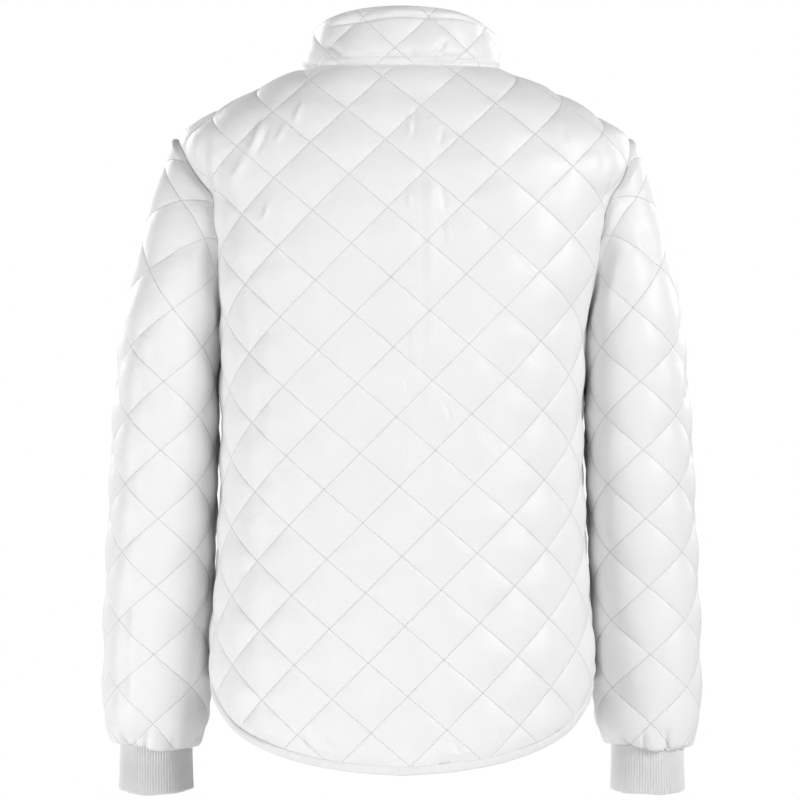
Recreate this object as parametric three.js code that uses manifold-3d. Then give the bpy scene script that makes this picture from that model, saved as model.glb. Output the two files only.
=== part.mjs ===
// Quilted thermal jacket, filled out as it hangs on a wearer's shoulders. Millimetres.
// X runs to the wearer's left, Y to the back and Z up. The origin lies midway between the two
// side neck points, at their height, where the shoulders carry the jacket.

import * as THREE from 'three';
import { mergeVertices } from 'three/addons/utils/BufferGeometryUtils.js';
import Module from 'manifold-3d';

const wasm = await Module();
wasm.setup();

// Driving dimensions of the cloth and its quilting
const seamGap = 0.3;
const sideInset = 0.25;
const armholeGap = 0.5;
const wall = 2;
const quilt = { width: 75.7, height: 70.3, puff: 5, roundness: 0.62 };
const backQuilt = { s: 0, t: 509, turn: THREE.MathUtils.degToRad(2.3) };
const frontQuilt = { s: 0, t: 509, turn: 0 };
const sleeveQuilt = { s: 0, t: 394, turn: 0 };
const collarQuilt = { s: 7, t: 47, turn: 0 };

// Driving dimensions of the cut
const length = 720;
const neck = { half: 98, frontDrop: 85, square: 2.2 };
const collar = { back: 61, side: 30.5, front: -20, half: 92, yBack: 57, yFront: -77, bulge: 4 };
const collarHeight = 63.5;
const collarLift = 0.9;
const armhole = { top: -73, bottom: -255, back: 58, front: 60, square: 2.2 };
const binding = { width: 9, inner: -2.4, outer: 1 };
const cuff = { length: 50, wall: 2.2, ribs: 84, relief: 0.9, flare: 1.5 };
const zip = {
  panelEdge: 5,
  tapeEdge: 12,
  tapeInner: -4.7,
  tapeOuter: -3.95,
  chain: 2.6,
  chainInner: -3.3,
  chainOuter: 0.9,
};

// Torso rings, each at a distance down from the side neck points: half widths on the wearer's
// left and right, depths behind and before the shoulder line, and how square the ring is
const torsoRings = [
  { down: 0, left: 98, right: 98, back: 75, front: 42, square: 2.2 },
  { down: 9, left: 117, right: 117, back: 80, front: 49, square: 2.35 },
  { down: 21.5, left: 146, right: 146, back: 87, front: 58, square: 2.5 },
  { down: 34.5, left: 170, right: 170, back: 92, front: 66, square: 2.65 },
  { down: 46.5, left: 191, right: 191, back: 97, front: 72, square: 2.8 },
  { down: 59.5, left: 210, right: 210, back: 102, front: 78, square: 2.9 },
  { down: 73, left: 228, right: 229, back: 106, front: 84, square: 3 },
  { down: 85, left: 227, right: 234, back: 110, front: 88, square: 3.1 },
  { down: 99, left: 222, right: 236, back: 114, front: 94, square: 3.15 },
  { down: 119, left: 210, right: 230, back: 118, front: 101, square: 3.2 },
  { down: 134, left: 199, right: 220, back: 121, front: 106, square: 3.2 },
  { down: 164, left: 195, right: 212, back: 124, front: 114, square: 3.15 },
  { down: 200, left: 194, right: 207, back: 125, front: 120, square: 3.1 },
  { down: 230, left: 191, right: 200, back: 125, front: 123, square: 3.05 },
  { down: 255, left: 187, right: 191, back: 124, front: 124, square: 3 },
  { down: 300, left: 185, right: 186, back: 123, front: 125, square: 2.9 },
  { down: 390, left: 184, right: 184, back: 121, front: 123, square: 2.7 },
  { down: 440, left: 185.5, right: 185.5, back: 121, front: 121, square: 2.55 },
  { down: 540, left: 191, right: 191, back: 124, front: 120, square: 2.4 },
  { down: 590, left: 196, right: 196, back: 127, front: 120, square: 2.3 },
  { down: 640, left: 198, right: 198, back: 129, front: 120, square: 2.25 },
  { down: 730, left: 198, right: 198, back: 132, front: 120, square: 2.2 },
];

// Sleeve rings of the left sleeve: centre outward and back, half width and half depth
const sleeveRings = [
  { down: 290, out: 241.5, back: -8, half: 46, depth: 70 },
  { down: 340, out: 244.5, back: -10, half: 49.5, depth: 69 },
  { down: 393, out: 247, back: -13, half: 51.5, depth: 67 },
  { down: 443, out: 249, back: -16, half: 51.5, depth: 65 },
  { down: 493, out: 251.5, back: -20, half: 51.5, depth: 62 },
  { down: 543, out: 253.5, back: -24, half: 51, depth: 60 },
  { down: 593, out: 255.5, back: -28, half: 50.5, depth: 58 },
  { down: 643, out: 256.5, back: -32, half: 49, depth: 56 },
  { down: 667, out: 257, back: -34, half: 48, depth: 54 },
  { down: 680, out: 257.5, back: -35, half: 46, depth: 51 },
  { down: 692, out: 258, back: -36, half: 41.5, depth: 46 },
  { down: 702, out: 258, back: -36, half: 37.5, depth: 41.5 },
  { down: 760, out: 258, back: -36, half: 37.5, depth: 41.5 },
];
const sleeveTop = 290;
const sleeveBottom = 702;
const gatherFrom = 655;
const sleeveSquare = 2.3;

// How far the hem lifts above its lowest point, by the angle round from the centre back
const hemRise = [
  { angle: 0, rise: 0 },
  { angle: 20, rise: 4.4 },
  { angle: 40, rise: 15 },
  { angle: 60, rise: 35 },
  { angle: 75, rise: 62 },
  { angle: 90, rise: 83 },
  { angle: 105, rise: 92 },
  { angle: 125, rise: 95 },
  { angle: 180, rise: 90 },
];

// Fineness of the outlines, strips and rings: steps in millimetres, or in shares of an edge
const outlineStep = 7;
const hemStep = 0.055;
const neckStep = 0.06;
const bindingStep = 0.05;
const collarStep = 24;
const sleeveStep = 40;
const tapeStep = 18;
const chainStep = 22;
const armholePoints = 26;

// Share of the front hem and neck line at which the zip's edge of the panel stands
const zipShare = 1 / 60;
const neckEnd = 0.985;

// How far round each armhole (0 on top, 2 under the arm) the cells start to flatten more
const tightFrom = 1.25;
const ringSteps = 40;

// Materials
const cloth = new THREE.MeshStandardMaterial({ color: 0xf4f4f3, roughness: 0.5, metalness: 0 });
const knit = new THREE.MeshStandardMaterial({ color: 0xf2f2f1, roughness: 0.9, metalness: 0 });
const bindingCloth = new THREE.MeshStandardMaterial({ color: 0xf1f1f0, roughness: 0.55, metalness: 0 });
const tape = new THREE.MeshStandardMaterial({ color: 0xeeeeed, roughness: 0.85, metalness: 0 });
const coil = new THREE.MeshStandardMaterial({ color: 0xe9e9e8, roughness: 0.4, metalness: 0 });
const metal = new THREE.MeshStandardMaterial({ color: 0xdcdcdc, roughness: 0.35, metalness: 0.6 });

const clamp = THREE.MathUtils.clamp;
const lerp = THREE.MathUtils.lerp;
const smooth = (value) => THREE.MathUtils.smoothstep(value, 0, 1);

// Smooth curve through one column of a table, read at a place along its key column
function readTable(rows, key, place, column) {
  const last = rows.length - 1;
  const where = clamp(place, rows[0][key], rows[last][key]);
  let k = 0;
  while (k < last - 1 && where > rows[k + 1][key]) k += 1;
  const slope = (a, b) => (rows[b][column] - rows[a][column]) / (rows[b][key] - rows[a][key]);
  const step = rows[k + 1][key] - rows[k][key];
  const f = (where - rows[k][key]) / step;
  const start = slope(Math.max(k - 1, 0), k + 1) * step;
  const end = slope(k, Math.min(k + 2, last)) * step;
  const a = rows[k][column];
  const b = rows[k + 1][column];
  const bend = (start + end - 2 * (b - a)) * f + 3 * (b - a) - 2 * start - end;
  return a + f * (start + f * bend);
}

// Quarter of a squared oval, from the depth axis to the width axis, with the length walked
function quarterOval(half, depth, square) {
  const points = [];
  let walked = 0;
  for (let k = 0; k <= ringSteps; k += 1) {
    const angle = (k / ringSteps) * Math.PI / 2;
    const across = Math.sin(angle);
    const along = Math.cos(angle);
    const radius = ((across / half) ** square + (along / depth) ** square) ** (-1 / square);
    const x = radius * across;
    const y = radius * along;
    if (k > 0) walked += Math.hypot(x - points[k - 1].x, y - points[k - 1].y);
    points.push({ x, y, walked });
  }
  return points;
}

// Point of a quarter oval at the given value of one of its fields, which grows or falls steadily
function alongQuarter(points, field, value) {
  const grows = points[points.length - 1][field] > points[0][field];
  let k = 0;
  while (k < points.length - 2 && (points[k + 1][field] < value) === grows) k += 1;
  const a = points[k];
  const b = points[k + 1];
  const f = clamp((value - a[field]) / (b[field] - a[field]), 0, 1);
  return { x: lerp(a.x, b.x, f), y: lerp(a.y, b.y, f), walked: lerp(a.walked, b.walked, f) };
}

// The torso, by panel face ('back' or 'front') and side (1 is the wearer's left, -1 the right)

// Depths down the centre back or front, paired with the length walked along the cloth
function centreWalk(face) {
  const rows = [{ down: 0, walked: 0 }];
  const step = 4;
  for (let down = step; down <= length + 12; down += step) {
    const rise = readTable(torsoRings, 'down', down, face)
      - readTable(torsoRings, 'down', down - step, face);
    rows.push({ down, walked: rows[rows.length - 1].walked + Math.hypot(step, rise) });
  }
  return rows;
}

const centreWalks = { back: centreWalk('back'), front: centreWalk('front') };
const walkedAt = (face, down) => readTable(centreWalks[face], 'down', down, 'walked');
const downAt = (face, walked) => readTable(centreWalks[face], 'walked', walked, 'down');

function torsoQuarter(face, side, down) {
  const half = readTable(torsoRings, 'down', down, side > 0 ? 'left' : 'right');
  const depth = readTable(torsoRings, 'down', down, face);
  return quarterOval(half, depth, readTable(torsoRings, 'down', down, 'square'));
}

// Point at s along the ring from the centre, positive to the wearer's left, and t down the centre
function torsoPoint(face, s, t) {
  const side = s < 0 ? -1 : 1;
  const down = downAt(face, t);
  const place = alongQuarter(torsoQuarter(face, side, down), 'walked', Math.abs(s));
  return new THREE.Vector3(side * place.x, face === 'back' ? place.y : -place.y, -down);
}

// Flat place of the shoulder and side seam line at a depth
function sidePlace(face, side, down) {
  const quarter = torsoQuarter(face, side, down);
  return [side * (quarter[ringSteps].walked - sideInset), walkedAt(face, down)];
}

// Armhole loop, seen from the side: 0 at the shoulder, 1 at the widest, 2 under the arm
const armholeCentre = (armhole.top + armhole.bottom) / 2;
const armholeHalf = (armhole.top - armhole.bottom) / 2;

function armholeQuarter(face, grow) {
  return quarterOval(armholeHalf + grow, armhole[face] + grow, armhole.square);
}

function armholePlace(face, round, grow) {
  const quarter = armholeQuarter(face, grow);
  const reach = quarter[ringSteps].walked;
  const upper = round < 1;
  const place = alongQuarter(quarter, 'walked', reach * (upper ? 1 - round : round - 1));
  return { y: place.y, z: armholeCentre + (upper ? place.x : -place.x) };
}

function armholeFlat(face, side, round) {
  const { y, z } = armholePlace(face, round, armholeGap / 2);
  const quarter = torsoQuarter(face, side, -z);
  const reach = Math.min(alongQuarter(quarter, 'y', y).walked, quarter[ringSteps].walked - sideInset);
  return [side * reach, walkedAt(face, -z)];
}

// Height of the hem at an angle round from the centre back, and on a panel at s
const hemDown = (angle) => length - readTable(hemRise, 'angle', angle, 'rise');

function hemPlace(face, side, share, above) {
  const angle = face === 'back' ? 90 * share : 180 - 90 * share;
  const down = hemDown(angle) - above;
  const quarter = torsoQuarter(face, side, down);
  return [side * share * (quarter[ringSteps].walked - sideInset), walkedAt(face, down)];
}

// Evenly spaced values from one number to another, both ends included
function spread(from, to, step) {
  const count = Math.max(1, Math.round(Math.abs(to - from) / step));
  return Array.from({ length: count + 1 }, (_, k) => lerp(from, to, k / count));
}

// The side of a torso panel from the neck down: shoulder, armhole and side seam
function sideEdges(face, side) {
  const shoulder = spread(seamGap, -armhole.top - armholeGap / 2, outlineStep);
  const hemEnd = hemDown(90) - binding.width - seamGap;
  const under = spread(-armhole.bottom + armholeGap / 2, hemEnd, 2 * outlineStep);
  const upper = spread(0, tightFrom, 2 / armholePoints);
  const lower = spread(tightFrom, 2, 2 / armholePoints);
  return [
    { soft: 12, points: shoulder.map((down) => sidePlace(face, side, down)) },
    { soft: 10, points: upper.map((round) => armholeFlat(face, side, round)) },
    { soft: 34, points: lower.map((round) => armholeFlat(face, side, round)) },
    { soft: 10, points: under.map((down) => sidePlace(face, side, down)) },
  ];
}

function hemEdge(face, side, from, to) {
  const shares = spread(from, to, hemStep);
  const above = binding.width + seamGap;
  return { soft: 9, points: shares.map((share) => hemPlace(face, side, share, above)) };
}

// Neck line of the front: how far round from the side neck point (0) to the centre front (1)
function neckPlace(side, share) {
  const angle = share * Math.PI / 2;
  const x = neck.half * Math.cos(angle) ** (2 / neck.square);
  const down = neck.frontDrop * Math.sin(angle) ** 1.5;
  const quarter = torsoQuarter('front', side, down);
  return { x, down, s: alongQuarter(quarter, 'x', x).walked };
}

// Closed mesh cut and joined as a solid
function solidOf(geometry) {
  const bare = geometry.index ? geometry.clone() : geometry;
  bare.deleteAttribute('normal');
  bare.deleteAttribute('uv');
  const merged = mergeVertices(bare, 1e-5);
  return new wasm.Manifold(new wasm.Mesh({
    numProp: 3,
    vertProperties: new Float32Array(merged.attributes.position.array),
    triVerts: new Uint32Array(merged.index.array),
  }));
}

function geometryOf(positions, triangles) {
  const geometry = new THREE.BufferGeometry();
  geometry.setAttribute('position', new THREE.Float32BufferAttribute(positions, 3));
  geometry.setIndex(triangles);
  return geometry;
}

// Turns the faces of a closed mesh so that they point out
function faceOutward(positions, triangles) {
  const corner = (n) => new THREE.Vector3().fromArray(positions, 3 * n);
  let volume = 0;
  for (let k = 0; k < triangles.length; k += 3) {
    const [a, b, c] = [0, 1, 2].map((n) => corner(triangles[k + n]));
    volume += a.dot(b.cross(c));
  }
  if (volume > 0) return triangles;
  const turned = [];
  for (let k = 0; k < triangles.length; k += 3) {
    turned.push(triangles[k], triangles[k + 2], triangles[k + 1]);
  }
  return turned;
}

// How far a quilted cell stands up at (s, t): 1 in its middle and 0 along its stitch lines
function cellHeight(lattice, s, t) {
  const [u, v] = toLattice(lattice, s, t);
  const a = u / quilt.width + v / quilt.height;
  const b = u / quilt.width - v / quilt.height;
  return Math.abs(Math.cos(Math.PI * a) * Math.cos(Math.PI * b)) ** quilt.roundness;
}

// Flat place turned into the quilting's own directions, with a stitch crossing half a cell
// above and below each cell's middle
function toLattice(lattice, s, t) {
  const x = s - lattice.s;
  const y = t - lattice.t;
  const u = x * Math.cos(lattice.turn) + y * Math.sin(lattice.turn);
  const v = -x * Math.sin(lattice.turn) + y * Math.cos(lattice.turn);
  return [u, v + quilt.height / 2];
}

function fromLattice(lattice, u, v) {
  const y = v - quilt.height / 2;
  const s = lattice.s + u * Math.cos(lattice.turn) - y * Math.sin(lattice.turn);
  const t = lattice.t + u * Math.sin(lattice.turn) + y * Math.cos(lattice.turn);
  return [s, t];
}

// Distance from a flat place to a line of flat points
function distanceTo(points, s, t) {
  let nearest = Infinity;
  for (let k = 0; k + 1 < points.length; k += 1) {
    const [as, at] = points[k];
    const [bs, bt] = points[k + 1];
    const reach = (bs - as) ** 2 + (bt - at) ** 2;
    const f = reach > 0 ? clamp(((s - as) * (bs - as) + (t - at) * (bt - at)) / reach, 0, 1) : 0;
    nearest = Math.min(nearest, Math.hypot(s - lerp(as, bs, f), t - lerp(at, bt, f)));
  }
  return nearest;
}

// Flat sheet with quilted cells on its outer face and a plain inner face. Its grid follows the
// quilting, four steps to a cell outside, so that stitch lines are its edges. Inside, one step
// takes as many of the outer ones as stride says, and every other point lies a little deeper
// until the sheet is cut, so that none of its faces are joined.
function quiltedSheet(lattice, edges, stride) {
  const step = [quilt.width / 4, quilt.height / 4];
  const low = [Infinity, Infinity];
  const high = [-Infinity, -Infinity];
  edges.flatMap((edge) => edge.points).forEach(([s, t]) => {
    toLattice(lattice, s, t).forEach((value, axis) => {
      low[axis] = Math.min(low[axis], value / step[axis]);
      high[axis] = Math.max(high[axis], value / step[axis]);
    });
  });
  const first = low.map((value) => 2 * Math.floor(value / 2 - 0.5));
  const last = high.map((value) => 2 * Math.ceil(value / 2 + 0.5));
  const positions = [];
  const numbers = new Map();
  const uneven = 0.3;
  const node = (i, j, inner) => {
    const key = `${i},${j},${inner}`;
    if (!numbers.has(key)) {
      const [s, t] = fromLattice(lattice, i * step[0], j * step[1]);
      const depth = wall + ((i + j) / stride % 2 === 0 ? uneven : 0);
      positions.push(s, t, inner ? -depth : quilt.puff * cellHeight(lattice, s, t));
      numbers.set(key, numbers.size);
    }
    return numbers.get(key);
  };
  const triangles = [];
  const quad = (a, b, c, d) => triangles.push(a, b, c, a, c, d);
  for (let i = first[0]; i < last[0]; i += 1) {
    for (let j = first[1]; j < last[1]; j += 1) {
      const corners = [[i, j], [i + 1, j], [i + 1, j + 1], [i, j + 1]].map(([a, b]) => node(a, b, false));
      if ((i - j) % 2 !== 0) corners.push(corners.shift());
      quad(...corners);
    }
  }
  for (let i = first[0]; i < last[0]; i += stride) {
    for (let j = first[1]; j < last[1]; j += stride) {
      const corners = [[i, j], [i, j + stride], [i + stride, j + stride], [i + stride, j]];
      quad(...corners.map(([a, b]) => node(a, b, true)));
    }
  }
  const rim = (a, b) => {
    const [innerA, innerB] = [a, b].map(([i, j]) => node(i, j, true));
    const outer = spread(0, 1, 1 / stride).map((f) => node(lerp(a[0], b[0], f), lerp(a[1], b[1], f), false));
    outer.slice(1).forEach((outerB, k) => {
      triangles.push(outerB, outer[k], k === 0 ? innerA : innerB);
    });
    triangles.push(outer[1], innerA, innerB);
  };
  for (let i = first[0]; i < last[0]; i += stride) {
    rim([i, first[1]], [i + stride, first[1]]);
    rim([i + stride, last[1]], [i, last[1]]);
  }
  for (let j = first[1]; j < last[1]; j += stride) {
    rim([last[0], j], [last[0], j + stride]);
    rim([first[0], j + stride], [first[0], j]);
  }
  return solidOf(geometryOf(positions, triangles));
}

// Quilted panel: the sheet is cut to its outline, the cells are flattened towards each edge
// over its soft width, and every point is carried to its place on the garment
function quiltedPanel(name, lattice, edges, place, stride = 2) {
  const outline = edges.flatMap((edge) => edge.points.map(([s, t]) => new THREE.Vector2(s, t)));
  const rounded = outline.filter((point, k) => point.distanceTo(outline.at(k - 1)) > 0.05);
  const cutter = new THREE.ExtrudeGeometry(new THREE.Shape(rounded), { depth: 30, bevelEnabled: false });
  cutter.translate(0, 0, -12);
  const cut = quiltedSheet(lattice, edges, stride).intersect(solidOf(cutter)).getMesh();
  const positions = [];
  for (let k = 0; k < cut.vertProperties.length; k += cut.numProp) {
    const [s, t, raw] = cut.vertProperties.slice(k, k + 3);
    let height = -wall;
    if (raw > -wall / 2) {
      const flatten = edges.map((edge) => smooth(distanceTo(edge.points, s, t) / edge.soft));
      height = quilt.puff * cellHeight(lattice, s, t) * flatten.reduce((a, b) => a * b, 1);
    }
    const { point, normal } = surface(place, s, t);
    point.addScaledVector(normal, height);
    positions.push(point.x, point.y, point.z);
  }
  const triangles = faceOutward(positions, Array.from(cut.triVerts));
  return named(name, geometryOf(positions, triangles), cloth);
}

// Point and outward normal of a cloth surface; inside(point) gives a point within the garment
function surface(place, s, t) {
  const reach = 1.5;
  const point = place.at(s, t);
  const along = place.at(s + reach, t).sub(place.at(s - reach, t));
  const down = place.at(s, t + reach).sub(place.at(s, t - reach));
  const normal = along.cross(down).normalize();
  if (normal.dot(point.clone().sub(place.inside(point))) < 0) normal.negate();
  return { point, normal };
}

function named(name, geometry, material) {
  geometry.computeVertexNormals();
  const mesh = new THREE.Mesh(geometry, material);
  mesh.name = name;
  return mesh;
}

// Surfaces that panels are laid on

const innerPoint = (point) => new THREE.Vector3(0, 0, Math.min(point.z, -60) - 30);

const onBack = { at: (s, t) => torsoPoint('back', s, t), inside: innerPoint };
const onFront = (side) => ({
  at: (s, t) => torsoPoint('front', side * Math.abs(s), t),
  inside: innerPoint,
});

// Sleeve ring point at s round from the middle of its back, positive to the outside
function ringPoint(side, s, down) {
  const read = (column) => readTable(sleeveRings, 'down', down, column);
  const quarter = quarterOval(read('half'), read('depth'), sleeveSquare);
  const reach = quarter[ringSteps].walked;
  const round = (((s / reach) % 4) + 4) % 4;
  const lap = Math.floor(round);
  const part = round - lap;
  const place = alongQuarter(quarter, 'walked', reach * (lap % 2 === 0 ? part : 1 - part));
  const outward = lap < 2 ? 1 : -1;
  const backward = lap === 0 || lap === 3 ? 1 : -1;
  const x = read('out') + outward * place.x;
  return new THREE.Vector3(side * x, read('back') + backward * place.y, -down);
}

// Quarter of the sleeve's girth, as it hangs and as it was cut before the cuff drew it in
const sleeveReach = (down) => {
  const read = (column) => readTable(sleeveRings, 'down', down, column);
  return quarterOval(read('half'), read('depth'), sleeveSquare)[ringSteps].walked;
};
const cutReach = (down) => sleeveReach(Math.min(down, gatherFrom));

// Where the sleeve meets the armhole, for s round the top ring, and the torso's slope there
function capEnd(side, s) {
  const round = (((s / sleeveReach(sleeveTop)) % 4) + 4) % 4;
  const face = round < 1 || round > 3 ? 'back' : 'front';
  const fromTop = round < 1 ? 1 - round : round > 3 ? 5 - round : Math.abs(round - 1);
  const onLoop = (where) => {
    const { y, z } = armholePlace(face, clamp(where, 0, 2), -armholeGap / 2);
    const place = alongQuarter(torsoQuarter(face, side, -z), 'y', y);
    return new THREE.Vector3(side * place.x, face === 'back' ? place.y : -place.y, z);
  };
  const point = onLoop(fromTop);
  const turn = onLoop(fromTop + 0.05).sub(onLoop(fromTop - 0.05)).normalize();
  return { point, turn, fromTop };
}

// Upward course of the sleeve's cloth over the cap, as a curve with given ends and directions
const capInward = [
  { fromTop: 0, inward: 0.8, lift: 0.6, follow: 1 },
  { fromTop: 0.5, inward: 0.85, lift: 0.5, follow: 0.5 },
  { fromTop: 1, inward: 0.9, lift: 0.4, follow: 0 },
  { fromTop: 1.5, inward: 0.6, lift: 0.8, follow: 0 },
  { fromTop: 2, inward: 0.35, lift: 0.95, follow: 0 },
];

function capCurve(side, s) {
  const start = ringPoint(side, s, sleeveTop);
  const { point: end, turn, fromTop } = capEnd(side, s);
  const reach = start.distanceTo(end);
  const lower = ringPoint(side, s * sleeveReach(sleeveTop + 12) / sleeveReach(sleeveTop), sleeveTop + 12);
  const leave = start.clone().sub(lower).normalize().multiplyScalar(reach);
  const read = (column) => readTable(capInward, 'fromTop', fromTop, column);
  const free = new THREE.Vector3(-side * read('inward'), 0, read('lift'));
  const across = free.clone().addScaledVector(turn, -read('follow') * free.dot(turn)).normalize();
  const arrive = across.multiplyScalar(0.36 * reach);
  return { start, leave, end, arrive };
}

function onCurve({ start, leave, end, arrive }, f) {
  const point = start.clone().multiplyScalar(2 * f ** 3 - 3 * f ** 2 + 1);
  point.addScaledVector(leave, f ** 3 - 2 * f ** 2 + f);
  point.addScaledVector(end, 3 * f ** 2 - 2 * f ** 3);
  return point.addScaledVector(arrive, f ** 3 - f ** 2);
}

function curveLength(curve) {
  const points = spread(0, 1, 0.1).map((f) => onCurve(curve, f));
  return points.slice(1).reduce((sum, point, k) => sum + point.distanceTo(points[k]), 0);
}

function onSleeve(side) {
  const at = (s, t) => {
    if (t >= sleeveTop) return ringPoint(side, s * sleeveReach(t) / cutReach(t), t);
    const curve = capCurve(side, s);
    return onCurve(curve, (sleeveTop - t) / curveLength(curve));
  };
  const inside = (point) => {
    const down = clamp(-point.z, 200, 700);
    const out = readTable(sleeveRings, 'down', down, 'out') - 0.35 * clamp(down - 260, -60, 0);
    const lean = clamp((250 - down) / 50, 0, 1);
    return new THREE.Vector3(side * lerp(out, 195, lean), readTable(sleeveRings, 'down', down, 'back'), -down);
  };
  return { at, inside };
}

// The collar: a low band from the neck line up to its top edge, leaning forward

function neckLoop() {
  const points = [];
  torsoQuarter('back', 1, 0).forEach(({ x, y }) => points.push(new THREE.Vector3(x, y, 0)));
  spread(0, 1, 1 / ringSteps).slice(1).forEach((share) => {
    const { x, down } = neckPlace(1, share);
    const { y } = alongQuarter(torsoQuarter('front', 1, down), 'x', x);
    points.push(new THREE.Vector3(x, -y, -down));
  });
  return points;
}

function collarTopLoop() {
  return spread(0, Math.PI, Math.PI / (2 * ringSteps)).map((angle) => {
    const c = Math.cos(angle);
    const middle = (collar.back + collar.front) / 2;
    const z = middle + (collar.back - middle) * c + (collar.side - middle) * Math.sin(angle) ** 2;
    const y = (collar.yBack + collar.yFront) / 2 + c * (collar.yBack - collar.yFront) / 2;
    return new THREE.Vector3(collar.half * Math.sin(angle), y, z);
  });
}

function withWalk(points) {
  let walked = 0;
  return points.map((point, k) => {
    if (k > 0) walked += point.distanceTo(points[k - 1]);
    return { x: point.x, y: point.y, z: point.z, walked };
  });
}

const neckRows = withWalk(neckLoop());
const topRows = withWalk(collarTopLoop());
const neckLength = neckRows.at(-1).walked;
const topLength = topRows.at(-1).walked;

// Point at s along the neck line from the centre back and t down from the collar's top edge
function collarPoint(s, t) {
  const side = s < 0 ? -1 : 1;
  const share = Math.abs(s) / neckLength;
  const lift = 1 - t / collarHeight;
  const read = (rows, whole, column) => readTable(rows, 'walked', whole * share, column);
  const low = ['x', 'y', 'z'].map((column) => read(neckRows, neckLength, column));
  const high = ['x', 'y', 'z'].map((column) => read(topRows, topLength, column));
  const point = new THREE.Vector3(...low).lerp(new THREE.Vector3(...high), lift);
  const out = new THREE.Vector3(point.x, point.y + 8, 0).normalize();
  point.addScaledVector(out, collar.bulge * Math.sin(Math.PI * clamp(lift, 0, 1)));
  point.x *= side;
  return point;
}

const onCollar = {
  at: collarPoint,
  inside: (point) => new THREE.Vector3(0, -8, point.z - 5),
};

// Panels of the torso

const flip = (edge) => ({ soft: edge.soft, points: edge.points.slice().reverse() });

function backPanel() {
  const left = sideEdges('back', 1);
  const right = sideEdges('back', -1).map(flip).reverse();
  const hemLeft = flip(hemEdge('back', 1, 0, 1));
  const hemRight = hemEdge('back', -1, 0, 1);
  hemRight.points.shift();
  const neckEdge = { soft: 8, points: [right.at(-1).points.at(-1), left[0].points[0]] };
  return quiltedPanel('back', backQuilt, [neckEdge, ...left, hemLeft, hemRight, ...right], onBack);
}

function frontPanel(side, name) {
  const sideways = sideEdges('front', side).map(({ soft, points }) => (
    { soft, points: points.map(([s, t]) => [Math.abs(s), t]) }
  ));
  const hem = flip(hemEdge('front', 1, zipShare, 1));
  hem.points = hem.points.map(([s, t]) => [Math.max(s, zip.panelEdge), t]);
  hem.points[hem.points.length - 1][0] = zip.panelEdge;
  const neckLine = spread(0, neckEnd, neckStep).map((share) => {
    const { s, down } = neckPlace(side, share);
    return [Math.max(s, zip.panelEdge), walkedAt('front', down) + seamGap];
  });
  neckLine.at(-1)[0] = zip.panelEdge;
  const neckEdge = flip({ soft: 8, points: neckLine.slice(1) });
  const zipEdge = { soft: 10, points: [hem.points.at(-1), neckLine.at(-1)] };
  return quiltedPanel(name, frontQuilt, [neckEdge, ...sideways, hem, zipEdge], onFront(side));
}

// Sleeves: one piece each, from the middle of the back round both ways to the seam inside
function sleevePanel(side, name) {
  const reach = sleeveReach(sleeveTop);
  const rounds = spread(-1 + 0.004, 3 - 0.004, 4 / (2 * armholePoints));
  const cap = rounds.map((round) => {
    const s = round * reach;
    return [s, sleeveTop - curveLength(capCurve(side, s))];
  });
  const downs = spread(sleeveTop, gatherFrom, sleeveStep).concat(680, sleeveBottom);
  const edgeAt = (lap) => (down) => {
    const inset = lap < 0 ? seamGap / 2 : -seamGap / 2;
    return [lap * cutReach(down) + inset, down];
  };
  const outerEdge = { soft: 12, points: downs.map(edgeAt(3)) };
  const innerEdge = { soft: 12, points: downs.map(edgeAt(-1)).reverse() };
  cap[0][0] = innerEdge.points.at(-1)[0];
  cap.at(-1)[0] = outerEdge.points[0][0];
  const bottom = { soft: 10, points: [outerEdge.points.at(-1), innerEdge.points[0]] };
  const tight = Math.round((2 - tightFrom) * armholePoints / 2);
  const capEdges = [
    { soft: 34, points: cap.slice(0, tight + 1) },
    { soft: 10, points: cap.slice(tight, -tight) },
    { soft: 34, points: cap.slice(-tight - 1) },
  ];
  const edges = [...capEdges, outerEdge, bottom, innerEdge];
  return quiltedPanel(name, sleeveQuilt, edges, onSleeve(side));
}

function collarPanel() {
  const end = neckLength - zip.panelEdge - 0.8;
  const low = collarHeight - collarLift;
  const stops = spread(-end, end, collarStep);
  const top = { soft: 7, points: stops.map((s) => [s, 0]) };
  const left = { soft: 12, points: [[end, 0], [end, low]] };
  const foot = { soft: 8, points: stops.map((s) => [s, low]).reverse() };
  const right = { soft: 12, points: [[-end, low], [-end, 0]] };
  return quiltedPanel('collar', collarQuilt, [top, left, foot, right], onCollar, 1);
}

// Strip of even thickness between two lines of points that share their rows. Each row gives the
// flat places of the strip's two edges; low and high are its faces above the cloth's surface.
function strip(name, rows, low, high, material) {
  const positions = [];
  rows.forEach(({ place, a, b }) => {
    [[a, low], [b, low], [b, high], [a, high]].forEach(([[s, t], height]) => {
      const { point, normal } = surface(place, s, t);
      point.addScaledVector(normal, height);
      positions.push(point.x, point.y, point.z);
    });
  });
  const triangles = [];
  for (let k = 0; k + 1 < rows.length; k += 1) {
    for (let n = 0; n < 4; n += 1) {
      const here = 4 * k + n;
      const beside = 4 * k + (n + 1) % 4;
      triangles.push(here, beside, beside + 4, here, beside + 4, here + 4);
    }
  }
  const end = 4 * (rows.length - 1);
  triangles.push(0, 2, 1, 0, 3, 2, end, end + 1, end + 2, end, end + 2, end + 3);
  return named(name, geometryOf(positions, faceOutward(positions, triangles)), material);
}

function hemBinding(name, face, side, place) {
  const from = face === 'front' ? zipShare : -1;
  const rows = spread(from, 1, bindingStep).map((share) => {
    const half = share < 0 ? -1 : side;
    const [s, top] = hemPlace(face, half, Math.abs(share), binding.width);
    const [, low] = hemPlace(face, half, Math.abs(share), 0);
    return { place, a: [face === 'front' ? Math.abs(s) : s, top], b: [face === 'front' ? Math.abs(s) : s, low] };
  });
  return strip(name, rows, binding.inner, binding.outer, bindingCloth);
}

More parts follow.
